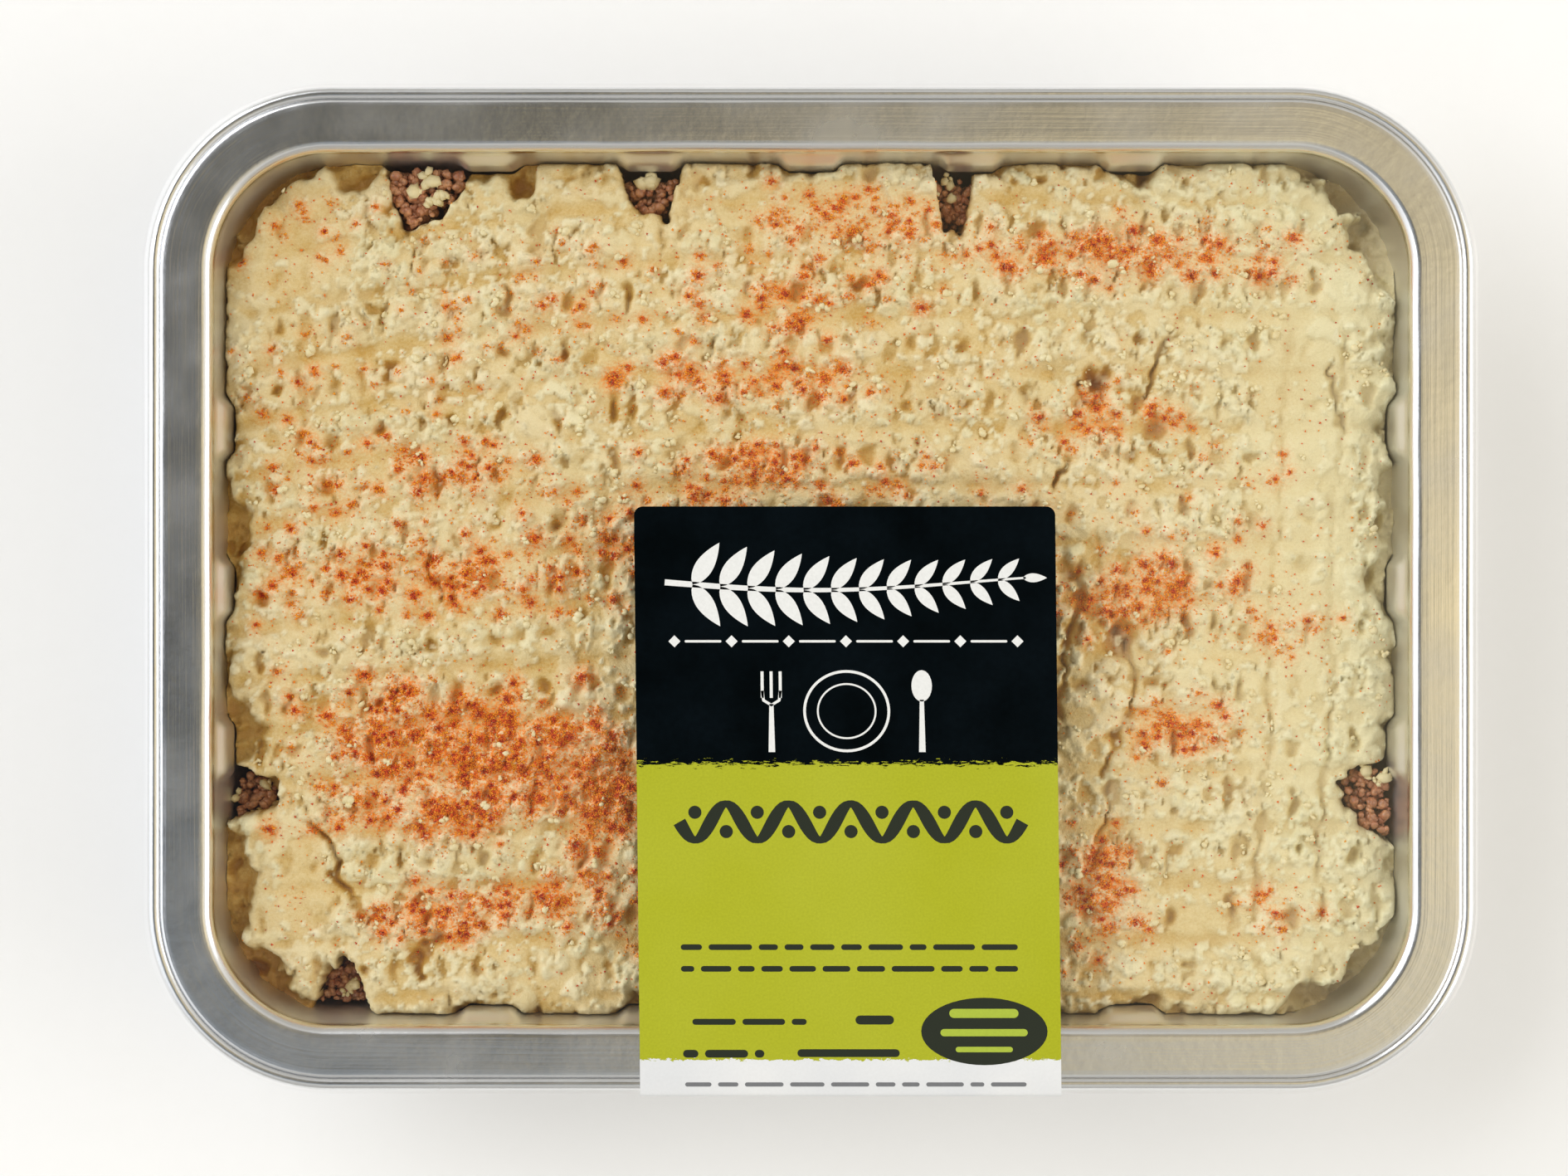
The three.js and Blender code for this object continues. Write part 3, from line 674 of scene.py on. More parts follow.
def waffle(x, y):
    """Depth of the roller's grooves, depth of its pits, and how deep in a groove each point is, 0 to 1."""
    lean = 0.03 + 0.1 * bell(x - 10, 45)
    dip = 0.0011 * np.minimum(x, 0) ** 2 * smooth((y + 80) / 140)
    u = (x - start_x - lean * (y - level_y)) / pitch_x
    v = (y - start_y + dip) / pitch_y
    row = np.abs(v - np.round(v)) * pitch_y
    in_groove = bell(row + 0.35 * clouds(x, y, 3.0, 61), groove_width * (1.1 + 0.25 * clouds(x, y, 14, 62)))
    grooves = groove_depth * (0.8 + 0.4 * waver(y / 9, x / 40)) * in_groove
    along = (v - np.floor(v) - 0.5) * pitch_y
    # Most teeth of the roller left a pit or a slot, and between some of them there is a fainter one.
    pits = np.zeros(np.shape(x))
    for offset, share, deep in ((0.0, 0.9, 1.0), (0.5, 0.5, 0.7)):
        tooth = np.round(u - offset)
        cell = tooth * 13 + np.floor(v) * 57 + 400 * offset
        shift = 1.8 * (scatter(cell + 510) - 0.5)
        column = np.abs((u - offset - tooth) * pitch_x + shift + 0.7 * clouds(x, y, 1.6, 63))
        reach = np.abs(along + 2.4 * (scatter(cell + 90) - 0.5) + 0.9 * clouds(x, y, 1.5, 65))
        is_slot = scatter(cell + 700) > 0.5
        width = np.where(is_slot, 0.95, 1.1 + 0.5 * scatter(cell + 30))
        length = np.where(is_slot, 1.5 + 1.5 * scatter(cell + 60), 0.9 + 0.9 * scatter(cell + 400))
        depth = deep * (0.65 + 0.95 * scatter(cell)) * (scatter(cell + 800) < share)
        pits = np.maximum(pits, depth * np.exp(-((column / width) ** 2 + (reach / length) ** 2) ** 1.5))
    # At the right the roller ran on along the tray's end and left long straight grooves.
    run = smooth((x - 70) / 4) * smooth((y + 62) / 8) * smooth((48 - y) / 8)
    pits = np.maximum(pits, 0.9 * run * bell(column, 0.9))
    return grooves, pits, in_groove


def torn(x, y):
    """Depth of the holes and cracks."""
    depth = 0
    for at_x, at_y, reach, deep in tears:
        depth = depth + deep * bell(np.hypot(x - at_x, y - at_y) * (1 + 0.5 * clouds(x, y, 1.5, 71)), reach)
    for at_x, from_y, to_y, lean, deep in cracks:
        line = at_x + lean * (y - (from_y + to_y) / 2)
        line = line + 1.9 * clouds(y, 0 * y + at_x, 4.2, 72) + 0.9 * clouds(x, y, 1.5, 73)
        open_here = smooth((y - from_y) / 4) * smooth((to_y - y) / 4)
        width = 0.4 + 0.4 * open_here * (0.5 + 0.5 * clouds(x, y, 2.6, 74))
        depth = depth + deep * open_here * bell(x - line, width)
    return depth


def crumble(x, y, crumbly):
    """Height of the plates and crumbs torn up from the surface, and how pale they are painted, 0 to 1:
    painted light.
    """
    height, pale = np.zeros(x.shape), np.zeros(x.shape)
    for size, seed, level, thick, tone in torn_plates:
        own = smooth((rough(x, y, size, seed) - 0.6 * (1 - crumbly) - level) / 0.14)
        height = height + own * thick
        pale = np.maximum(pale, own * tone)
    for size, seed, share, thick in torn_crumbs:
        away, draw = lumps(x, y, size, seed)
        there = share * crumbly**2 * (1 + 2.0 * clouds(x, y, 3.4 * size, seed + 7))
        own = smooth((0.66 - away) / 0.26) * (draw < there)
        height = height + own * thick * (1.1 - away**2)
        pale = np.maximum(pale, own * (1 - 0.3 * draw / np.maximum(there, 0.01)))
    return height, np.clip(pale, 0, 1)


def corner_share(x, y):
    """1 on the line through the middle of a corner, 0 along the straight sides."""
    out_x, out_y = (np.maximum(over, 0) for over in past_straight(x, y))
    return 2 * out_x * out_y / np.maximum(out_x**2 + out_y**2, 1)


def edge_room(x, y):
    """How far a point lies inside the ragged edge of the top of the mash."""
    over_x, over_y = past_straight(x, y)
    at_end = smooth((over_x - over_y + 8) / 16)
    off_end = np.where(x > 0, stand_off["right"], stand_off["left"])
    off_side = np.where(y > 0, stand_off["back"], stand_off["front"])
    off = off_end * at_end + off_side * (1 - at_end)
    # In the corners the mash is rounder than the tray.
    off = off + np.where(x > 0, corner_off[1], corner_off[0]) * corner_share(x, y)
    lobe, scallop, nick = (lumps(x, y, size, seed)[0] for size, seed in ((7.0, 80), (3.4, 81), (1.6, 84)))
    ragged = 4.2 * (0.45 - lobe) + 1.8 * (0.5 - scallop) + 0.6 * (0.45 - nick) + 0.4 * clouds(x, y, 11, 87)
    notches = notch_depth(x, y, mince_notches + shallow_notches)
    return inside_wall(x, y, wall_inset(mash_foot) + mash_gap) - np.maximum(off, notches) + ragged


def soften(field, reach):
    """The field blurred over reach, in grid steps."""
    across, along = (np.fft.fftfreq(count) for count in field.shape)
    damp = np.exp(-2 * (math.pi * reach) ** 2 * (across[:, None] ** 2 + along[None, :] ** 2))
    return np.fft.ifft2(np.fft.fft2(field) * damp).real


def mash_surface(x, y):
    """Height of the mash, how crumbly it is, how deep it was pressed with painted shade at its foot, and a
    crumb mask.
    """
    grooves, pits, in_groove = waffle(x, y)
    slab = np.zeros(x.shape)
    for at_x, at_y, half_x, half_y in slabs:
        away = np.hypot((x - at_x) / half_x, (y - at_y) / half_y)
        slab = np.maximum(slab, smooth((1.15 - away) / 0.35))
    crumbly = np.clip(0.95 + 0.3 * clouds(x, y, 13, 51) + 0.15 * clouds(x, y, 5, 52), 0.35, 1.15)
    crumbly = crumbly * (1 - 0.4 * in_groove) * (1 - 0.55 * slab)
    rim = np.minimum(edge_room(x, y), mash_room(x, y) - 0.4)
    torn_depth = torn(x, y)
    hollows = 0.8 * crumbly * smooth((rough(x * 1.25, y * 0.8, 3.2, 64) - 0.4) / 0.3)
    pressed = np.maximum(np.maximum(grooves, pits), hollows) * (1 - 0.4 * slab) + torn_depth
    sunk = smooth(torn_depth + np.maximum(pits, hollows) - 0.2)
    crumbs, crumb_mask = crumble(x, y, crumbly - 0.45 * sunk)
    for deep, size, seed in ((0.25, 3.3, 56), (0.2, 7.5, 58), (0.1, 1.2, 55)):
        pressed = pressed - deep * clouds(x, y, size, seed)
    height = mash_level + swell * waver(x / 34, y / 27) + crumbs - pressed
    height = height - 1.3 * np.exp(-np.maximum(rim, 0) / 1.1)
    # Beyond its edge it slopes to the wall, and drops to the mince only where a notch is open.
    open_notch = smooth(notch_depth(x, y, mince_notches) / 2)
    corner = corner_share(x, y) * np.where(x > 0, 1, 0.5)
    foot = height - 3.2 - 4.6 * corner + 0.6 * clouds(x, y, 3, 57) - open_notch * (height - mash_foot + 1.5)
    on_top = smooth((rim + 1.3) / 1.6)
    # Below its top edge the mash is painted darker, most in the corners: painted shade under the edge.
    pressed = pressed + (0.9 + 1.2 * corner) * (1 - on_top)
    return foot + (height - foot) * on_top, crumbly, pressed, crumb_mask * on_top


def mash_block():
    start_inset = wall_inset(mash_foot) + mash_gap
    side = [(wall_inset(z) + food_gap - start_inset, z) for z in (20.0, 17.5, mash_underside + 0.05)]
    return food_block(mash_x, mash_y, in_mash, mash_z, side)


def ramp(tree, value, stops):
    """The colour output of a colour ramp with these (place, colour) stops."""
    made = place(tree, "ValToRGB", {"Fac": value})
    elements = made.color_ramp.elements
    for spot, colour in stops[1:-1]:
        elements.new(spot).color = colour
    for element, (spot, colour) in zip((elements[0], elements[len(stops) - 1]), (stops[0], stops[-1])):
        element.position, element.color = spot, colour
    return made.outputs["Color"]


def mashed_potato():
    """Cream mash: painted ochre in its hollows as painted shade, painted paler in its crumbs as painted
    light; orange where paprika bled.
    """
    made, tree, shader = new_material("mashed_potato", Roughness=0.5)
    # The stops lie at depths from 0.5 mm above the rolled surface to 4 mm under it; deeper is darker, painted
    # shade.
    stops = [
        (0.0, ink(229, 208, 156)),
        (0.11, ink(223, 198, 140)),
        (0.2, ink(213, 183, 117)),
        (0.29, ink(200, 161, 81)),
        (0.42, ink(188, 142, 60)),
        (0.69, ink(172, 118, 52)),
        (1.0, ink(108, 64, 38)),
    ]
    spot = own_spot(tree)
    specks = noise(tree, spot, 1900.0, 2.0, Roughness=0.7)
    depth = maths(tree, "ADD", attribute(tree, "pressed"), remap(tree, specks, 0.3, 0.7, -0.24, 0.24))
    shaded_by_depth = ramp(tree, remap(tree, depth, -0.5, 4.0), stops)
    # Plates and crumbs that stand up are painted paler: painted light.
    patches = remap(tree, noise(tree, spot, 90.0, 3.0), 0.35, 0.65)
    pale = mix(tree, patches, ink(240, 228, 188), ink(232, 223, 179))
    lit_and_shaded = mix(tree, remap(tree, attribute(tree, "crumb"), 0.0, 1.0, 0.0, 0.92), shaded_by_depth, pale)
    # Towards the right end the potato is painted paler: painted light.
    far = remap(tree, place(tree, "SeparateXYZ", {0: spot}).outputs["X"], 0.05, 0.1, 0.0, 0.65)
    lit_and_shaded = mix(tree, far, lit_and_shaded, ink(236, 233, 192))
    # The finest paprika is a dust between the grains.
    dust = maths(tree, "MULTIPLY", attribute(tree, "stain"), remap(tree, specks, 0.42, 0.6, 0.3, 1.5))
    tree.links.new(mix(tree, dust, lit_and_shaded, ink(244, 138, 30)), shader.inputs["Base Color"])
    add_bump(tree, shader, specks, 0.5, 0.0004)
    return made


mash_x, mash_y, in_mash = food_grid(mash_step, mash_room)
mash_z, mash_crumbly, mash_depth_shade, mash_crumb_light = mash_surface(mash_x, mash_y)
mash_points, mash_faces, mash_from = mash_block()
mash = new_piece("waffled_mash", mash_points, mash_faces, mashed_potato())
give_values(mash, "pressed", mash_depth_shade.ravel()[mash_from])
give_values(mash, "crumb", mash_crumb_light.ravel()[mash_from])
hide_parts("mash_topping")
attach(mash, "root")

# ---- Mash crumbs ----
# Loose crumbs of potato, half a millimetre to three across, that came off the roller. They lie on the mash,
# and a few larger ones fell on the mince where it shows.

crumb_count = 520


def grid_steps(x, y):
    """Places in millimetres as steps along the mash grid."""
    return (x + half_length - grid_inset) / mash_step, (y + half_width - grid_inset) / mash_step


def sample(field, x, y):
    """A field of the mash grid at any places, taken between its points."""
    i, j = (np.clip(steps, 0, count - 1.001) for steps, count in zip(grid_steps(x, y), field.shape))
    left, low = i.astype(int), j.astype(int)
    return between(field, left, low, i - left, j - low)


def loose_crumbs():
    """Each crumb is a clutch of two to five rough lumps, sunk into each other and into what they lie on."""
    draw = np.random.default_rng(31)
    x = draw.uniform(-100, 100, 6 * crumb_count)
    y = draw.uniform(-74, 74, 6 * crumb_count)
    wanted = np.clip(sample(mash_crumbly, x, y), 0.03, 1) ** 1.5
    lies = (edge_room(x, y) > 0.6) & (mash_room(x, y) > 1.5) & (draw.random(x.size) < wanted)
    x, y = x[lies][:crumb_count], y[lies][:crumb_count]
    clutches = [(at_x, at_y, sample(mash_z, at_x, at_y) + 0.2, 1.0) for at_x, at_y in zip(x, y)]
    for at_x, at_y, reach, high in mounds:
        for across, along in draw.normal(size=(round(0.05 * reach**2), 2)) * 0.35 * reach:
            clutches.append((at_x + across, at_y + along, high - 0.8, 1.7))
    spots, sizes = [], []
    for middle_x, middle_y, ground, larger in clutches:
        count = draw.integers(2, 5) + round(2 * larger - 2)
        spread = larger * (0.2 + 0.1 * count * draw.random())
        at_x, at_y = middle_x + draw.normal(size=count) * spread, middle_y + draw.normal(size=count) * spread
        size = larger * draw.uniform(0.35, 0.75, count) * draw.uniform(0.6, 1.2)
        spots.append(np.column_stack([at_x, at_y, ground + size * draw.uniform(-0.35, 0.25, count)]))
        sizes.append(size)
    return pile(round_shape(1), np.concatenate(spots), np.concatenate(sizes), draw, 0.28, (0.5, 1.25))


crumb_tone = (ink(232, 214, 162), ink(241, 229, 184), 160.0, 1600.0, 0.06)
crumb_potato = toned_material("crumb_potato", crumb_tone, (0.4, 0.0002), Roughness=0.55)
crumbs = new_piece("mash_crumbs", *loose_crumbs(), crumb_potato)
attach(crumbs, "root")

# ---- Paprika ----
# Coarse paprika shaken over the mash. It fell in clumps along a few sweeps of the hand, deep red where it is
# thick, and its oil has stained the mash orange round each clump.

# Each sweep: middle, reach along X and Y, how rich it is in clumps, and how heavy they are.
sweeps = [
    (-53, -28, 24, 9.5, 84, 1.6),
    (-35, -35, 5, 9, 18, 1.2),
    (-48, -53, 22, 4.5, 28, 0.9),
    (-62, 19.5, 18, 4, 16, 0.9),
    (-60, 3, 24, 8, 30, 0.9),
    (-28, 8, 16, 8, 24, 0.9),
    (-72, -22, 12, 9, 16, 1.1),
    (-6, 20, 16, 4.5, 22, 0.8),
    (-8, 34.5, 20, 3.5, 20, 1),
    (6, 62, 17, 5.5, 24, 0.6),
    (-1, 48, 15, 6, 18, 0.8),
    (55, 56, 25, 4, 34, 1),
    (55, -1, 13, 5, 22, 1),
    (49, 28, 14, 6, 12, 0.8),
    (62, -23, 9, 6, 14, 0.8),
    (48.5, -51, 6, 9, 18, 1),
    (95, -35, 3, 4, 4, 0.5),
    (79, -7, 9, 5, 6, 0.6),
    (-89, 3, 4, 6, 5, 0.7),
    (78, -54, 6, 4, 4, 0.6),
    (-20, -62, 12, 4, 6, 0.6),
    (-85, 62, 10, 6, 4, 0.5),
    (-86, 20, 8, 30, 14, 0.6),
    (-50, 46, 32, 16, 26, 0.55),
    (20, 10, 30, 14, 16, 0.55),
    (62, 8, 20, 16, 14, 0.5),
    (-80, -38, 9, 4, 7, 0.9),
    (-60, -38.5, 7, 4, 10, 1.2),
    (-66, -56.5, 9, 3, 7, 0.9),
]
lone_grains = 2700
four_faced = (
    np.array([(1, 1, 1), (1, -1, -1), (-1, 1, -1), (-1, -1, 1)]) / math.sqrt(3),
    np.array([(0, 1, 2), (0, 3, 1), (0, 2, 3), (1, 3, 2)]),
)


def shaken_paprika():
    """Where each grain fell, how dark it is from 0 to 1, and how much it stains."""
    draw = np.random.default_rng(57)
    spots, tones, stains = [], [], []
    for at_x, at_y, reach_along, reach_across, clumps, heavy in sweeps:
        sweep_middle, sweep_reach = np.array([at_x, at_y]), np.array([reach_along, reach_across])
        for _ in range(round(2.7 * clumps)):
            middle = sweep_middle + draw.normal(size=2) * 0.55 * sweep_reach
            weight = heavy * draw.uniform(0.2, 1.4) ** 1.5
            spread = 0.22 + 0.34 * draw.random() * min(heavy, 1.2)
            count = int(8 + 78 * weight * spread)
            away = draw.normal(size=(count, 2)) * spread * np.array([1.2, 0.9])
            thick = np.exp(-((away / spread) ** 2).sum(axis=1) / 2) * min(weight, 1)
            spots.append(middle + away)
            tones.append(np.clip(0.85 * thick + draw.normal(size=count) * 0.2, 0, 1))
            stains.append(np.full(count, min(0.4 + 0.3 * weight, 1)))
        loose = 11 * clumps
        spots.append(sweep_middle + draw.normal(size=(loose, 2)) * 0.85 * sweep_reach)
        tones.append(draw.random(loose) * 0.45)
        stains.append(np.full(loose, 0.3))
    spots.append(draw.uniform((-98, -72), (98, 72), (lone_grains, 2)))
    tones.append(draw.random(lone_grains) * 0.8)
    stains.append(np.full(lone_grains, 0.1))
    spots, tones, stains = np.concatenate(spots), np.concatenate(tones), np.concatenate(stains)
    lies = (edge_room(*spots.T) > 0.1) & (mash_room(*spots.T) > 0.8)
    return spots[lies], tones[lies], stains[lies], draw


def stained_mash():
    """How much oil bled from the grains at each point of the mash grid, 0 to 1."""
    i, j = (np.round(steps).astype(int) for steps in grid_steps(*grain_spots.T))
    dropped = np.zeros(mash_x.shape)
    np.add.at(dropped, (i, j), grain_stains)
    bled = 1.4 * soften(dropped, 1.0) + 2.4 * soften(dropped, 3.0)
    return 0.78 * (1 - np.exp(-0.6 * np.maximum(bled, 0)))


def paprika_flakes():
    made, tree, shader = new_material("paprika", Roughness=0.6)
    stops = [
        (0.0, ink(255, 172, 30)),
        (0.35, ink(248, 130, 14)),
        (0.58, ink(232, 86, 16)),
        (0.9, ink(172, 42, 22)),
    ]
    tree.links.new(ramp(tree, attribute(tree, "tone"), stops), shader.inputs["Base Color"])
    return made


grain_spots, grain_tones, grain_stains, paprika_draw = shaken_paprika()
grain_sizes = 0.14 + 0.14 * paprika_draw.random(len(grain_spots))
grain_heights = sample(mash_z, *grain_spots.T) + 0.6 * grain_sizes
grain_places = np.column_stack([grain_spots, grain_heights])
grains = pile(four_faced, grain_places, grain_sizes, paprika_draw, 0.2, (0.6, 1.3))
paprika = new_piece("paprika_grains", *grains, paprika_flakes())
give_values(paprika, "tone", np.repeat(grain_tones, len(four_faced[0])))
give_values(mash, "stain", stained_mash().ravel()[mash_from])
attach(paprika, "root")

# ---- Film ----
# A clear lidding film, heat sealed on the flange and trimmed just outside the bead, where its edge droops.
# It is taut over the food, with fine puckers where it was sealed round the corners.

film_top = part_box("lid_film")[1][2] / MM
film_thickness, film_overhang, film_droop = 0.2, 0.8, 0.8
seal_inset = 8.6
fold_middle, fold_reach = 6.5, 36.0  # where the label's fold presses the film's front edge to the bead
sharp_angle = math.radians(40)


def film_rings():
    """Rings of the film's upper face, from its edge to its middle."""
    pivots, normals, _ = walk_round()
    edge = [(-out * film_overhang, down * film_droop) for out, down in ((1, 1), (0.75, 0.62), (0.45, 0.3))]
    edge += [(0.0, 0.1), (0.5, 0.03), (1.4, 0.02), (2.4, 0.05), (3.6, 0.03), (5.2, 0.02)]
    seal = [(seal_inset - 0.35, 0.03), (seal_inset, 0.0), (seal_inset + 0.3, 0.05)]
    rings = []
    for inset, drop in edge + seal + [(inset, 0.05) for inset in (10.0, 12.0, 14.0, 17.5, 21.5, 26.0)]:
        held = smooth(fold_reach + 1 - np.abs(pivots[:, 0] - fold_middle)) * (normals[:, 1] < -0.99)
        out = corner_radius - inset * (1 - 0.8 * held * (inset < 0))
        rings.append((pivots + normals * out[:, None], inset, drop))
    innermost, beyond_rim = rings[-1][0], 40.0
    rings += [(innermost * share, beyond_rim, 0.05) for share in np.linspace(0.93, 0.05, 18)]
    made = []
    for spot, inset, drop in rings:
        x, y = spot.T
        over_x, over_y = past_straight(x, y)
        corner = smooth((over_x + 6) / 8) * smooth((over_y + 6) / 8)
        band = smooth((inset + 0.5) / 3) * smooth((16 - inset) / 6)
        pucker = 0.03 * corner * band * (1 + clouds(x, y, 2.1, 91))
        sag = 0.05 * smooth((inset - 9) / 10) * (1 + clouds(x, y, 26, 92))
        made.append(np.column_stack([spot, film_top - drop - pucker - sag]))
    return made


def clear_film():
    """Thin clear plastic: it only adds the gloss of its surface to what lies under it."""
    plain = {"Base_Color": ink(250, 252, 255), "Metallic": 1.0, "Roughness": 0.06}
    made, tree, shader = new_material("clear_film", **plain)
    glancing = maths(tree, "POWER", place(tree, "LayerWeight", {"Blend": 0.5}).outputs["Facing"], 5.0)
    gloss = remap(tree, glancing, 0.0, 1.0, 0.05, 0.95)
    # Both faces shine as one: the one that is met from inside the film adds nothing.
    outside = remap(tree, place(tree, "NewGeometry").outputs["Backfacing"], 0.0, 1.0, 1.0, 0.0)
    tree.links.new(maths(tree, "MULTIPLY", gloss, outside), shader.inputs["Alpha"])
    return made


film_upper = film_rings()
film_under = [ring - np.array([0, 0, film_thickness]) for ring in film_upper]
film = new_piece("sealed_film", *skin(film_under[::-1] + film_upper), clear_film())
film.data.set_sharp_from_angle(angle=sharp_angle)
# It takes no visible light from what lies under it.
film.visible_shadow = False
film.visible_diffuse = False
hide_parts("lid_film")
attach(film, "root")

# ---- Label ----
# A paper strip laid across the film, folded down over the front rim and on to the wall below it. It is
# printed black at the back, lime green in the middle and white at the front, with brushed borders.

label_low, label_high = (np.array(corner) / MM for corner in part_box("paper_label"))
label_width, label_thickness, label_skew, label_corner = 70.0, 0.2, 0.0108, 1.5
label_left, label_back = -29.45, label_high[1]
fold_bend = 0.7
fold_meets, fold_end = 12.0, label_low[2]  # heights at which it meets the wall and ends
black_end, green_end = 42.15, 91.9  # distance from the back edge at which each colour ends
print_lift = 0.03  # room above the paper for its ink
label_top = label_high[2] - print_lift


def label_path():
    """(y, z) along the middle of the label's upper face, from its back edge to the end of the fold."""
    front = -half_width - 0.3 * film_overhang
    flat_part = [(y, label_top) for y in [label_back, *np.linspace(label_back - label_corner, front, 24)]]
    turn = [(front - 0.4 * fold_bend, label_top - 0.1)]
    # The rest of the bend, in shares of its size: how far out and how far down.
    for out, down in ((0.7, 0.35), (0.92, 0.75), (1.0, 1.3), (0.8, 3.0)):
        turn.append((front - out * fold_bend, label_top - down * fold_bend))
    meets, end = ((-half_width + wall_inset(z) - foil - 0.4, z) for z in (fold_meets, fold_end))
    return np.array(flat_part + turn + [tuple(np.add(turn[-1], meets) / 2), meets, end])


label_line = label_path()
label_runs = np.concatenate([[0], np.cumsum(np.linalg.norm(np.diff(label_line, axis=0), axis=1))])
label_slopes = np.gradient(label_line, label_runs, axis=0)
label_slopes /= np.linalg.norm(label_slopes, axis=1)[:, None]


def on_label(across, along, lift=0.0):
    """The point at across and along millimetres from the label's back left corner, lifted off its face."""
    y, z = (np.interp(along, label_runs, label_line[:, axis]) for axis in (0, 1))
    slope_y, slope_z = (np.interp(along, label_runs, label_slopes[:, axis]) for axis in (0, 1))
    x = label_left + label_skew * along + across
    return np.column_stack([x, y + slope_z * lift, z - slope_y * lift])


def label_strip():
    """Rings of a closed strip, each round the label's two faces, and (across, along) of each point."""
    turns = np.linspace(0, math.pi / 2, 9)
    corner = [(label_corner * (1 - math.cos(a)), label_corner * (1 - math.sin(a))) for a in turns]
    rings, places = [], []
    for along, nip in corner + [(run, 0.0) for run in label_runs[2:]]:
        across = nip + np.linspace(0, 1, 25) * (label_width - 2 * nip)
        alongs = np.full(across.size, along)
        upper, under = (on_label(across, alongs, lift) for lift in (0.0, -label_thickness))
        rings.append(np.concatenate([upper[::-1], under]))
        places += [np.column_stack([across[::-1], alongs]), np.column_stack([across, alongs])]
    return rings, np.concatenate(places)


def printed_paper():
    """Paper with its three printed fields, whose borders look dragged with a dry brush."""
    made, tree, shader = new_material("printed_paper", Roughness=0.34, Specular_IOR_Level=0.03)
    across, along = attribute(tree, "across"), attribute(tree, "along")

    def brushed(edge, reach, grain_across, grain_along):
        scaled = {"X": maths(tree, "MULTIPLY", across, grain_across)}
        scaled["Y"] = maths(tree, "MULTIPLY", along, grain_along)
        streaks = noise(tree, place(tree, "CombineXYZ", scaled).outputs[0], 1.0, 4.0, Roughness=0.7)
        moved = maths(tree, "ADD", along, remap(tree, streaks, 0.3, 0.7, -reach, reach))
        return remap(tree, moved, edge - 0.03, edge + 0.03)

    lime_tone, _ = add_tone(tree, ink(178, 183, 44), ink(182, 187, 54), 40.0, 2600.0, 0.1)
    black_tone, _ = add_tone(tree, ink(2, 7, 10), ink(7, 15, 20), 90.0, 900.0, 0.25)
    paper_tone, _ = add_tone(tree, ink(236, 237, 238), ink(228, 230, 233), 60.0, 2000.0, 0.03)
    green = mix(tree, brushed(black_end + 0.6, 1.1, 0.55, 2.4), black_tone, lime_tone)
    colour = mix(tree, brushed(green_end, 0.5, 0.8, 1.5), green, paper_tone)
    tree.links.new(colour, shader.inputs["Base Color"])
    add_bump(tree, shader, noise(tree, own_spot(tree), 1500.0, 2.0), 0.12, 0.0001)
    return made


label_rings, label_places = label_strip()
label = new_piece("folded_label", *skin(label_rings), printed_paper())
give_values(label, "across", label_places[:, 0])
give_values(label, "along", label_places[:, 1])
label.data.set_sharp_from_angle(angle=sharp_angle)
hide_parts("paper_label")
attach(label, "root")

# ---- Print ----
# What the label carries, each colour one thin layer of ink on the paper: a white leafy sprig and a table
# setting on the black, dark bars where words would be on the green, and grey ones on the white.

ink_low, ink_high = 0.002, 0.012  # how far above the paper a layer of ink begins and ends


def plates(outlines, lift):
    """Thin closed plates of ink, each with its outline in millimetres across and along the label."""
    bodies = []
    for outline in outlines:
        across, along = np.array(outline).T
        # An outline runs anticlockwise as seen from above, where along runs towards the front.
        if np.sum(across * np.roll(along, -1) - np.roll(across, -1) * along) > 0:
            across, along = across[::-1], along[::-1]
        bodies.append(skin([on_label(across, along, lift + level) for level in (ink_low, ink_high)]))
    return join(*bodies)


def bar(across, along, length, height):
    """A bar with round ends: its left end, middle height, length and height."""
    radius = height / 2
    turns = np.radians(np.linspace(-90, 90, 9))
    right = [(across + length - radius + radius * math.cos(a), along + radius * math.sin(a)) for a in turns]
    left = [(across + radius - radius * math.cos(a), along - radius * math.sin(a)) for a in turns]
    return right + left


def stroke(points, widths):
    """A brush stroke of varying width along a line of points."""
    points = np.array(points, dtype=float)
    slopes = np.gradient(points, axis=0)
    slopes /= np.linalg.norm(slopes, axis=1)[:, None]
    half_widths = np.broadcast_to(widths, len(points))[:, None] / 2
    sideways = np.column_stack([-slopes[:, 1], slopes[:, 0]]) * half_widths
    return np.concatenate([points + sideways, (points - sideways)[::-1]]).tolist()


def oval_line(across, along, reach_across, reach_along, turns):
    return np.column_stack([across + reach_across * np.cos(turns), along + reach_along * np.sin(turns)])


def oval(across, along, reach_across, reach_along, steps=48):
    turns = np.linspace(0, 2 * math.pi, steps, endpoint=False)
    return oval_line(across, along, reach_across, reach_along, turns)


def hoop(across, along, reach_across, reach_along, width):
    """An oval line, as two half hoops that meet."""
    halves = [np.linspace(start, start + math.pi, 33) for start in (0, math.pi)]
    return [stroke(oval_line(across, along, reach_across, reach_along, half), width) for half in halves]


def leaf(across, along, length, width, angle):
    """A pointed leaf that starts at a point and grows at an angle, in degrees from the label's right."""
    share = np.linspace(0, 1, 13)
    half = width / 2 * np.sin(math.pi * share**0.8) ** 0.9
    one_side, other_side = (np.column_stack([share * length, edge]) for edge in (half, -half))
    u, v = np.concatenate([one_side, other_side[::-1][1:-1]]).T
    turn = math.radians(angle)
    x, y = u * math.cos(turn) - v * math.sin(turn), u * math.sin(turn) + v * math.cos(turn)
    return np.column_stack([across + x, along + y])


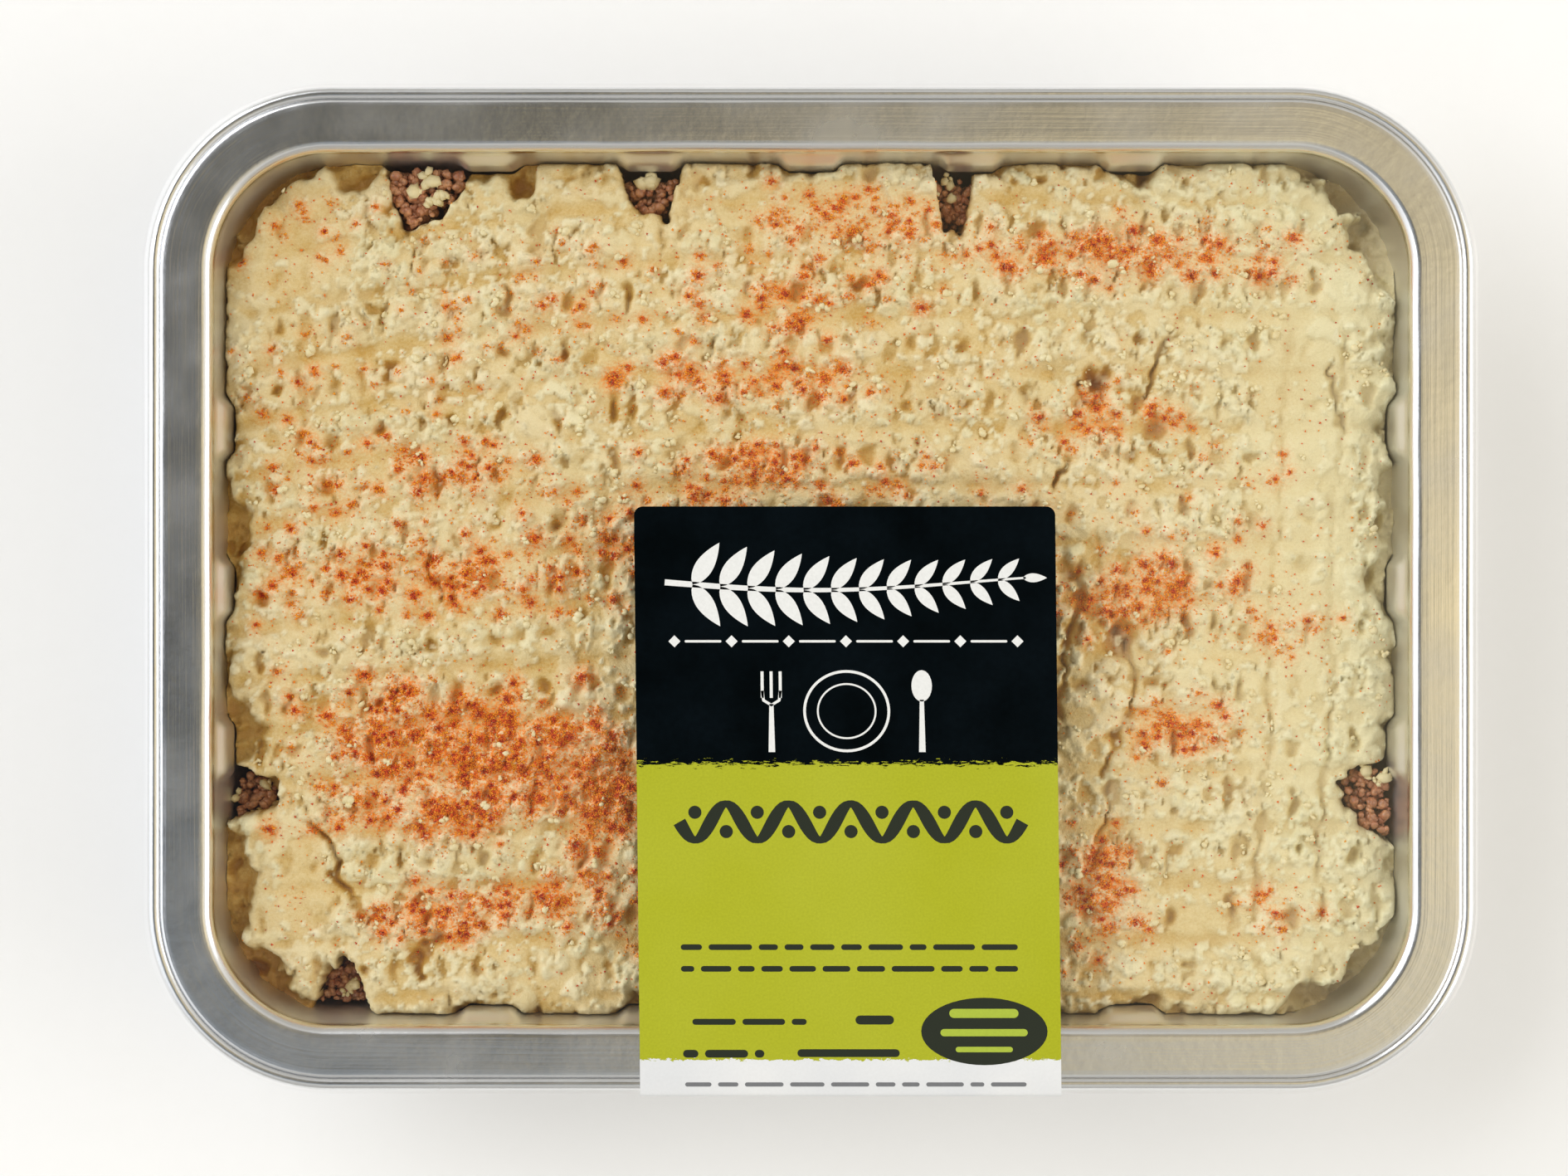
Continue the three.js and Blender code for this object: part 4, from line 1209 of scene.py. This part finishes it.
def sprig():
    """A sprig that lies along the top of the label, its leaves in pairs that grow smaller towards the tip."""
    start, end, level = 5.0, 65.0, 12.6
    across = np.linspace(start, end, 40)
    stem = np.column_stack([across, level + 1.3 * np.sin((across - start) / 16)])
    shapes = [stroke(stem, np.linspace(1.0, 0.35, len(stem)))]
    for share in np.linspace(0.08, 0.93, 12):
        spot = stem[round(share * (len(stem) - 1))]
        size = 8.6 * (1 - 0.45 * share)
        shapes += [leaf(*spot, size, 0.36 * size, side * (58 - 14 * share)) for side in (-1, 1)]
    return shapes + [leaf(end - 0.5, stem[-1][1], 4.0, 1.5, 0)]


def beads(across, along, length, count):
    """A row of lozenges with thin bars between them."""
    step = length / (count - 1)
    places = across + step * np.arange(count)
    shapes = [[(x - 1.0, along), (x, along - 1.0), (x + 1.0, along), (x, along + 1.0)] for x in places]
    return shapes + [bar(x + 1.7, along, step - 3.4, 0.4) for x in places[:-1]]


def table_setting():
    """A plate seen from above between a fork and a spoon."""
    middle, level = 35.0, 34.0
    fork, spoon = middle - 12.5, middle + 12.5
    neck = [(-1.5, -3.4), (-1.3, -1.8), (0.0, -1.0), (1.3, -1.8), (1.5, -3.4)]
    shapes = hoop(middle, level, 7.0, 6.6, 0.45) + hoop(middle, level, 4.8, 4.5, 0.3)
    shapes.append(stroke([(fork, level - 1.2), (fork, level + 6.8)], [0.7, 1.1]))
    shapes.append(stroke([(fork + x, level + y) for x, y in neck], 0.5))
    for prong in (fork - 1.5, fork, fork + 1.5):
        shapes.append(stroke([(prong, level - 6.6), (prong, level - 2.2)], 0.5))
    shapes.append(oval(spoon, level - 4.2, 1.7, 2.6, 28))
    shapes.append(stroke([(spoon, level - 1.9), (spoon, level + 6.8)], [0.7, 1.1]))
    return shapes


def ribbon():
    """A bold waving ribbon with a dot in each bend."""
    start, end, level, waves = 7.0, 64.0, 52.4, 5.5
    across = np.linspace(start, end, 120)
    turn = (across - start) / (end - start) * waves * 2 * math.pi
    line = np.column_stack([across, level + 3.0 * np.sin(turn)])
    shapes = [stroke(line, 1.1 + 1.1 * np.abs(np.cos(turn)))]
    for number in range(int(2 * waves)):
        x = start + (number + 0.5) / (2 * waves) * (end - start)
        shapes.append(oval(x, level - 1.6 * (-1) ** number, 1.1, 1.1, 20))
    return shapes


def bar_line(draw, across, along, length, height):
    """A line of bars of uneven length, as the words of a line are."""
    shapes = []
    x = across
    while x < across + length - 1.5:
        run = min(draw.uniform(2.2, 7.5), across + length - x)
        shapes.append(bar(x, along, run, height))
        x += run + 1.1
    return shapes


print_draw = np.random.default_rng(12)
white_print = sprig() + beads(6.5, 22.4, 57.0, 7) + table_setting()
dark_print = ribbon() + [oval(57.3, 87.2, 10.5, 5.6)]
for level in (73.2, 76.8):
    dark_print += bar_line(print_draw, 7.0, level, 56.0, 0.95)
dark_print += bar_line(print_draw, 8.8, 85.6, 19.0, 1.0) + [bar(35.9, 85.3, 6.4, 1.5)]
dark_print += bar_line(print_draw, 7.2, 90.9, 13.5, 1.3) + [bar(26.2, 90.8, 17.0, 1.3)]
lime_print = [bar(51.5, 84.2, 11.5, 1.5), bar(50.0, 87.4, 14.5, 1.2), bar(52.5, 90.2, 9.5, 0.9)]
# The grey lines leave out the fold.
fold_run = label_runs[np.argmin(np.abs(label_line[:, 1] - label_top + 0.6))]
grey_print = []
for level in np.arange(96.0, 128.0, 2.1):
    if abs(level - fold_run) > 2.0:
        grey_print += bar_line(print_draw, 7.5, level, print_draw.uniform(48, 58), 0.7)
# The lime bars lie on the dark oval, so they are lifted by one more layer.
layers = {
    "white_ink": (white_print, ink(240, 241, 240), 0.0),
    "dark_ink": (dark_print, ink(24, 34, 20), 0.0),
    "lime_ink": (lime_print, ink(176, 196, 62), ink_high),
    "grey_ink": (grey_print, ink(120, 122, 126), 0.0),
}
for layer_name, (shapes, colour, lift) in layers.items():
    matt_ink = toned_material(layer_name, (colour, colour, 60.0, 2200.0, 0.08), Roughness=0.4)
    layer = new_piece("label_" + layer_name, *plates(shapes, lift), matt_ink)
    layer.data.shade_flat()
    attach(layer, "root")

# ---- Table, light and camera ----
# A pale table, a large window to the left and behind, a warm wall to the right, and a camera straight above.

table_size = 4.0
camera_place = (-4.5, 0.1, tray_height + 620.0)
camera_lens, sensor_width = 85.6, 36.0
sky_strength = 1.25

table_corners = np.array([(-1, -1, 0), (1, -1, 0), (1, 1, 0), (-1, 1, 0)]) * table_size / 2 / MM
table_tone = (ink(253, 253, 253), ink(251, 251, 251), 3.0, 300.0, 0.01)
pale_table = toned_material("pale_table", table_tone, Roughness=0.7)
table = new_piece("table", table_corners, [(0, 1, 2, 3)], pale_table)


def add_window(name, spot, size, power, colour):
    """A rectangular light, in metres, that faces the tray."""
    light = bpy.data.lights.new(name, "AREA")
    light.shape, light.size, light.size_y = "RECTANGLE", *size
    light.energy, light.color = power, colour
    made = bpy.data.objects.new(name, light)
    made.location = spot
    made.rotation_euler = (Vector((0, 0, 0.02)) - Vector(spot)).to_track_quat("-Z", "Y").to_euler()
    bpy.context.collection.objects.link(made)


add_window("left_window", (-1.5, 0.9, 1.3), (2.0, 1.8), 23.0, (0.97, 0.98, 1.0))
add_window("right_wall", (1.4, -0.2, 0.8), (1.2, 1.0), 8.0, (1.0, 0.97, 0.91))


def studio_sky(tree):
    """Bright walls left and right, duller ones in front and behind, and a ceiling that pales to the right."""
    direction = place(tree, "SeparateXYZ", {0: place(tree, "TexCoord").outputs["Generated"]}).outputs
    sideways = remap(tree, direction["X"], -0.5, 0.5)
    walls = mix(tree, sideways, ink(250, 252, 255), ink(230, 226, 218))
    lengthways = remap(tree, maths(tree, "ABSOLUTE", direction["Y"]), 0.3, 0.75)
    walls = mix(tree, lengthways, walls, ink(172, 170, 164))
    ceiling = ink(62, 61, 58)
    for axis, low, high, to_low, to_high, colour in (
        ("X", -0.1, 0.22, 0.0, 1.0, ink(243, 222, 174)),
        ("Y", -0.16, 0.0, 0.5, 0.0, ink(142, 152, 160)),
        ("Y", 0.02, 0.16, 0.0, 0.62, ink(92, 92, 88)),
    ):
        ceiling = mix(tree, remap(tree, direction[axis], low, high, to_low, to_high), ceiling, colour)
    return mix(tree, remap(tree, direction["Z"], 0.8, 0.92), walls, ceiling)


sky = bpy.data.worlds.new("studio")
sky.use_nodes = True
bpy.context.scene.world = sky
backdrop = sky.node_tree.nodes["Background"]
sky.node_tree.links.new(studio_sky(sky.node_tree), backdrop.inputs["Color"])
backdrop.inputs["Strength"].default_value = sky_strength

camera = bpy.data.objects.new("camera", bpy.data.cameras.new("camera"))
camera.data.lens, camera.data.sensor_width = camera_lens, sensor_width
camera.location = np.array(camera_place) * MM
bpy.context.collection.objects.link(camera)
bpy.context.scene.camera = camera
bpy.context.scene.view_settings.view_transform = "Standard"
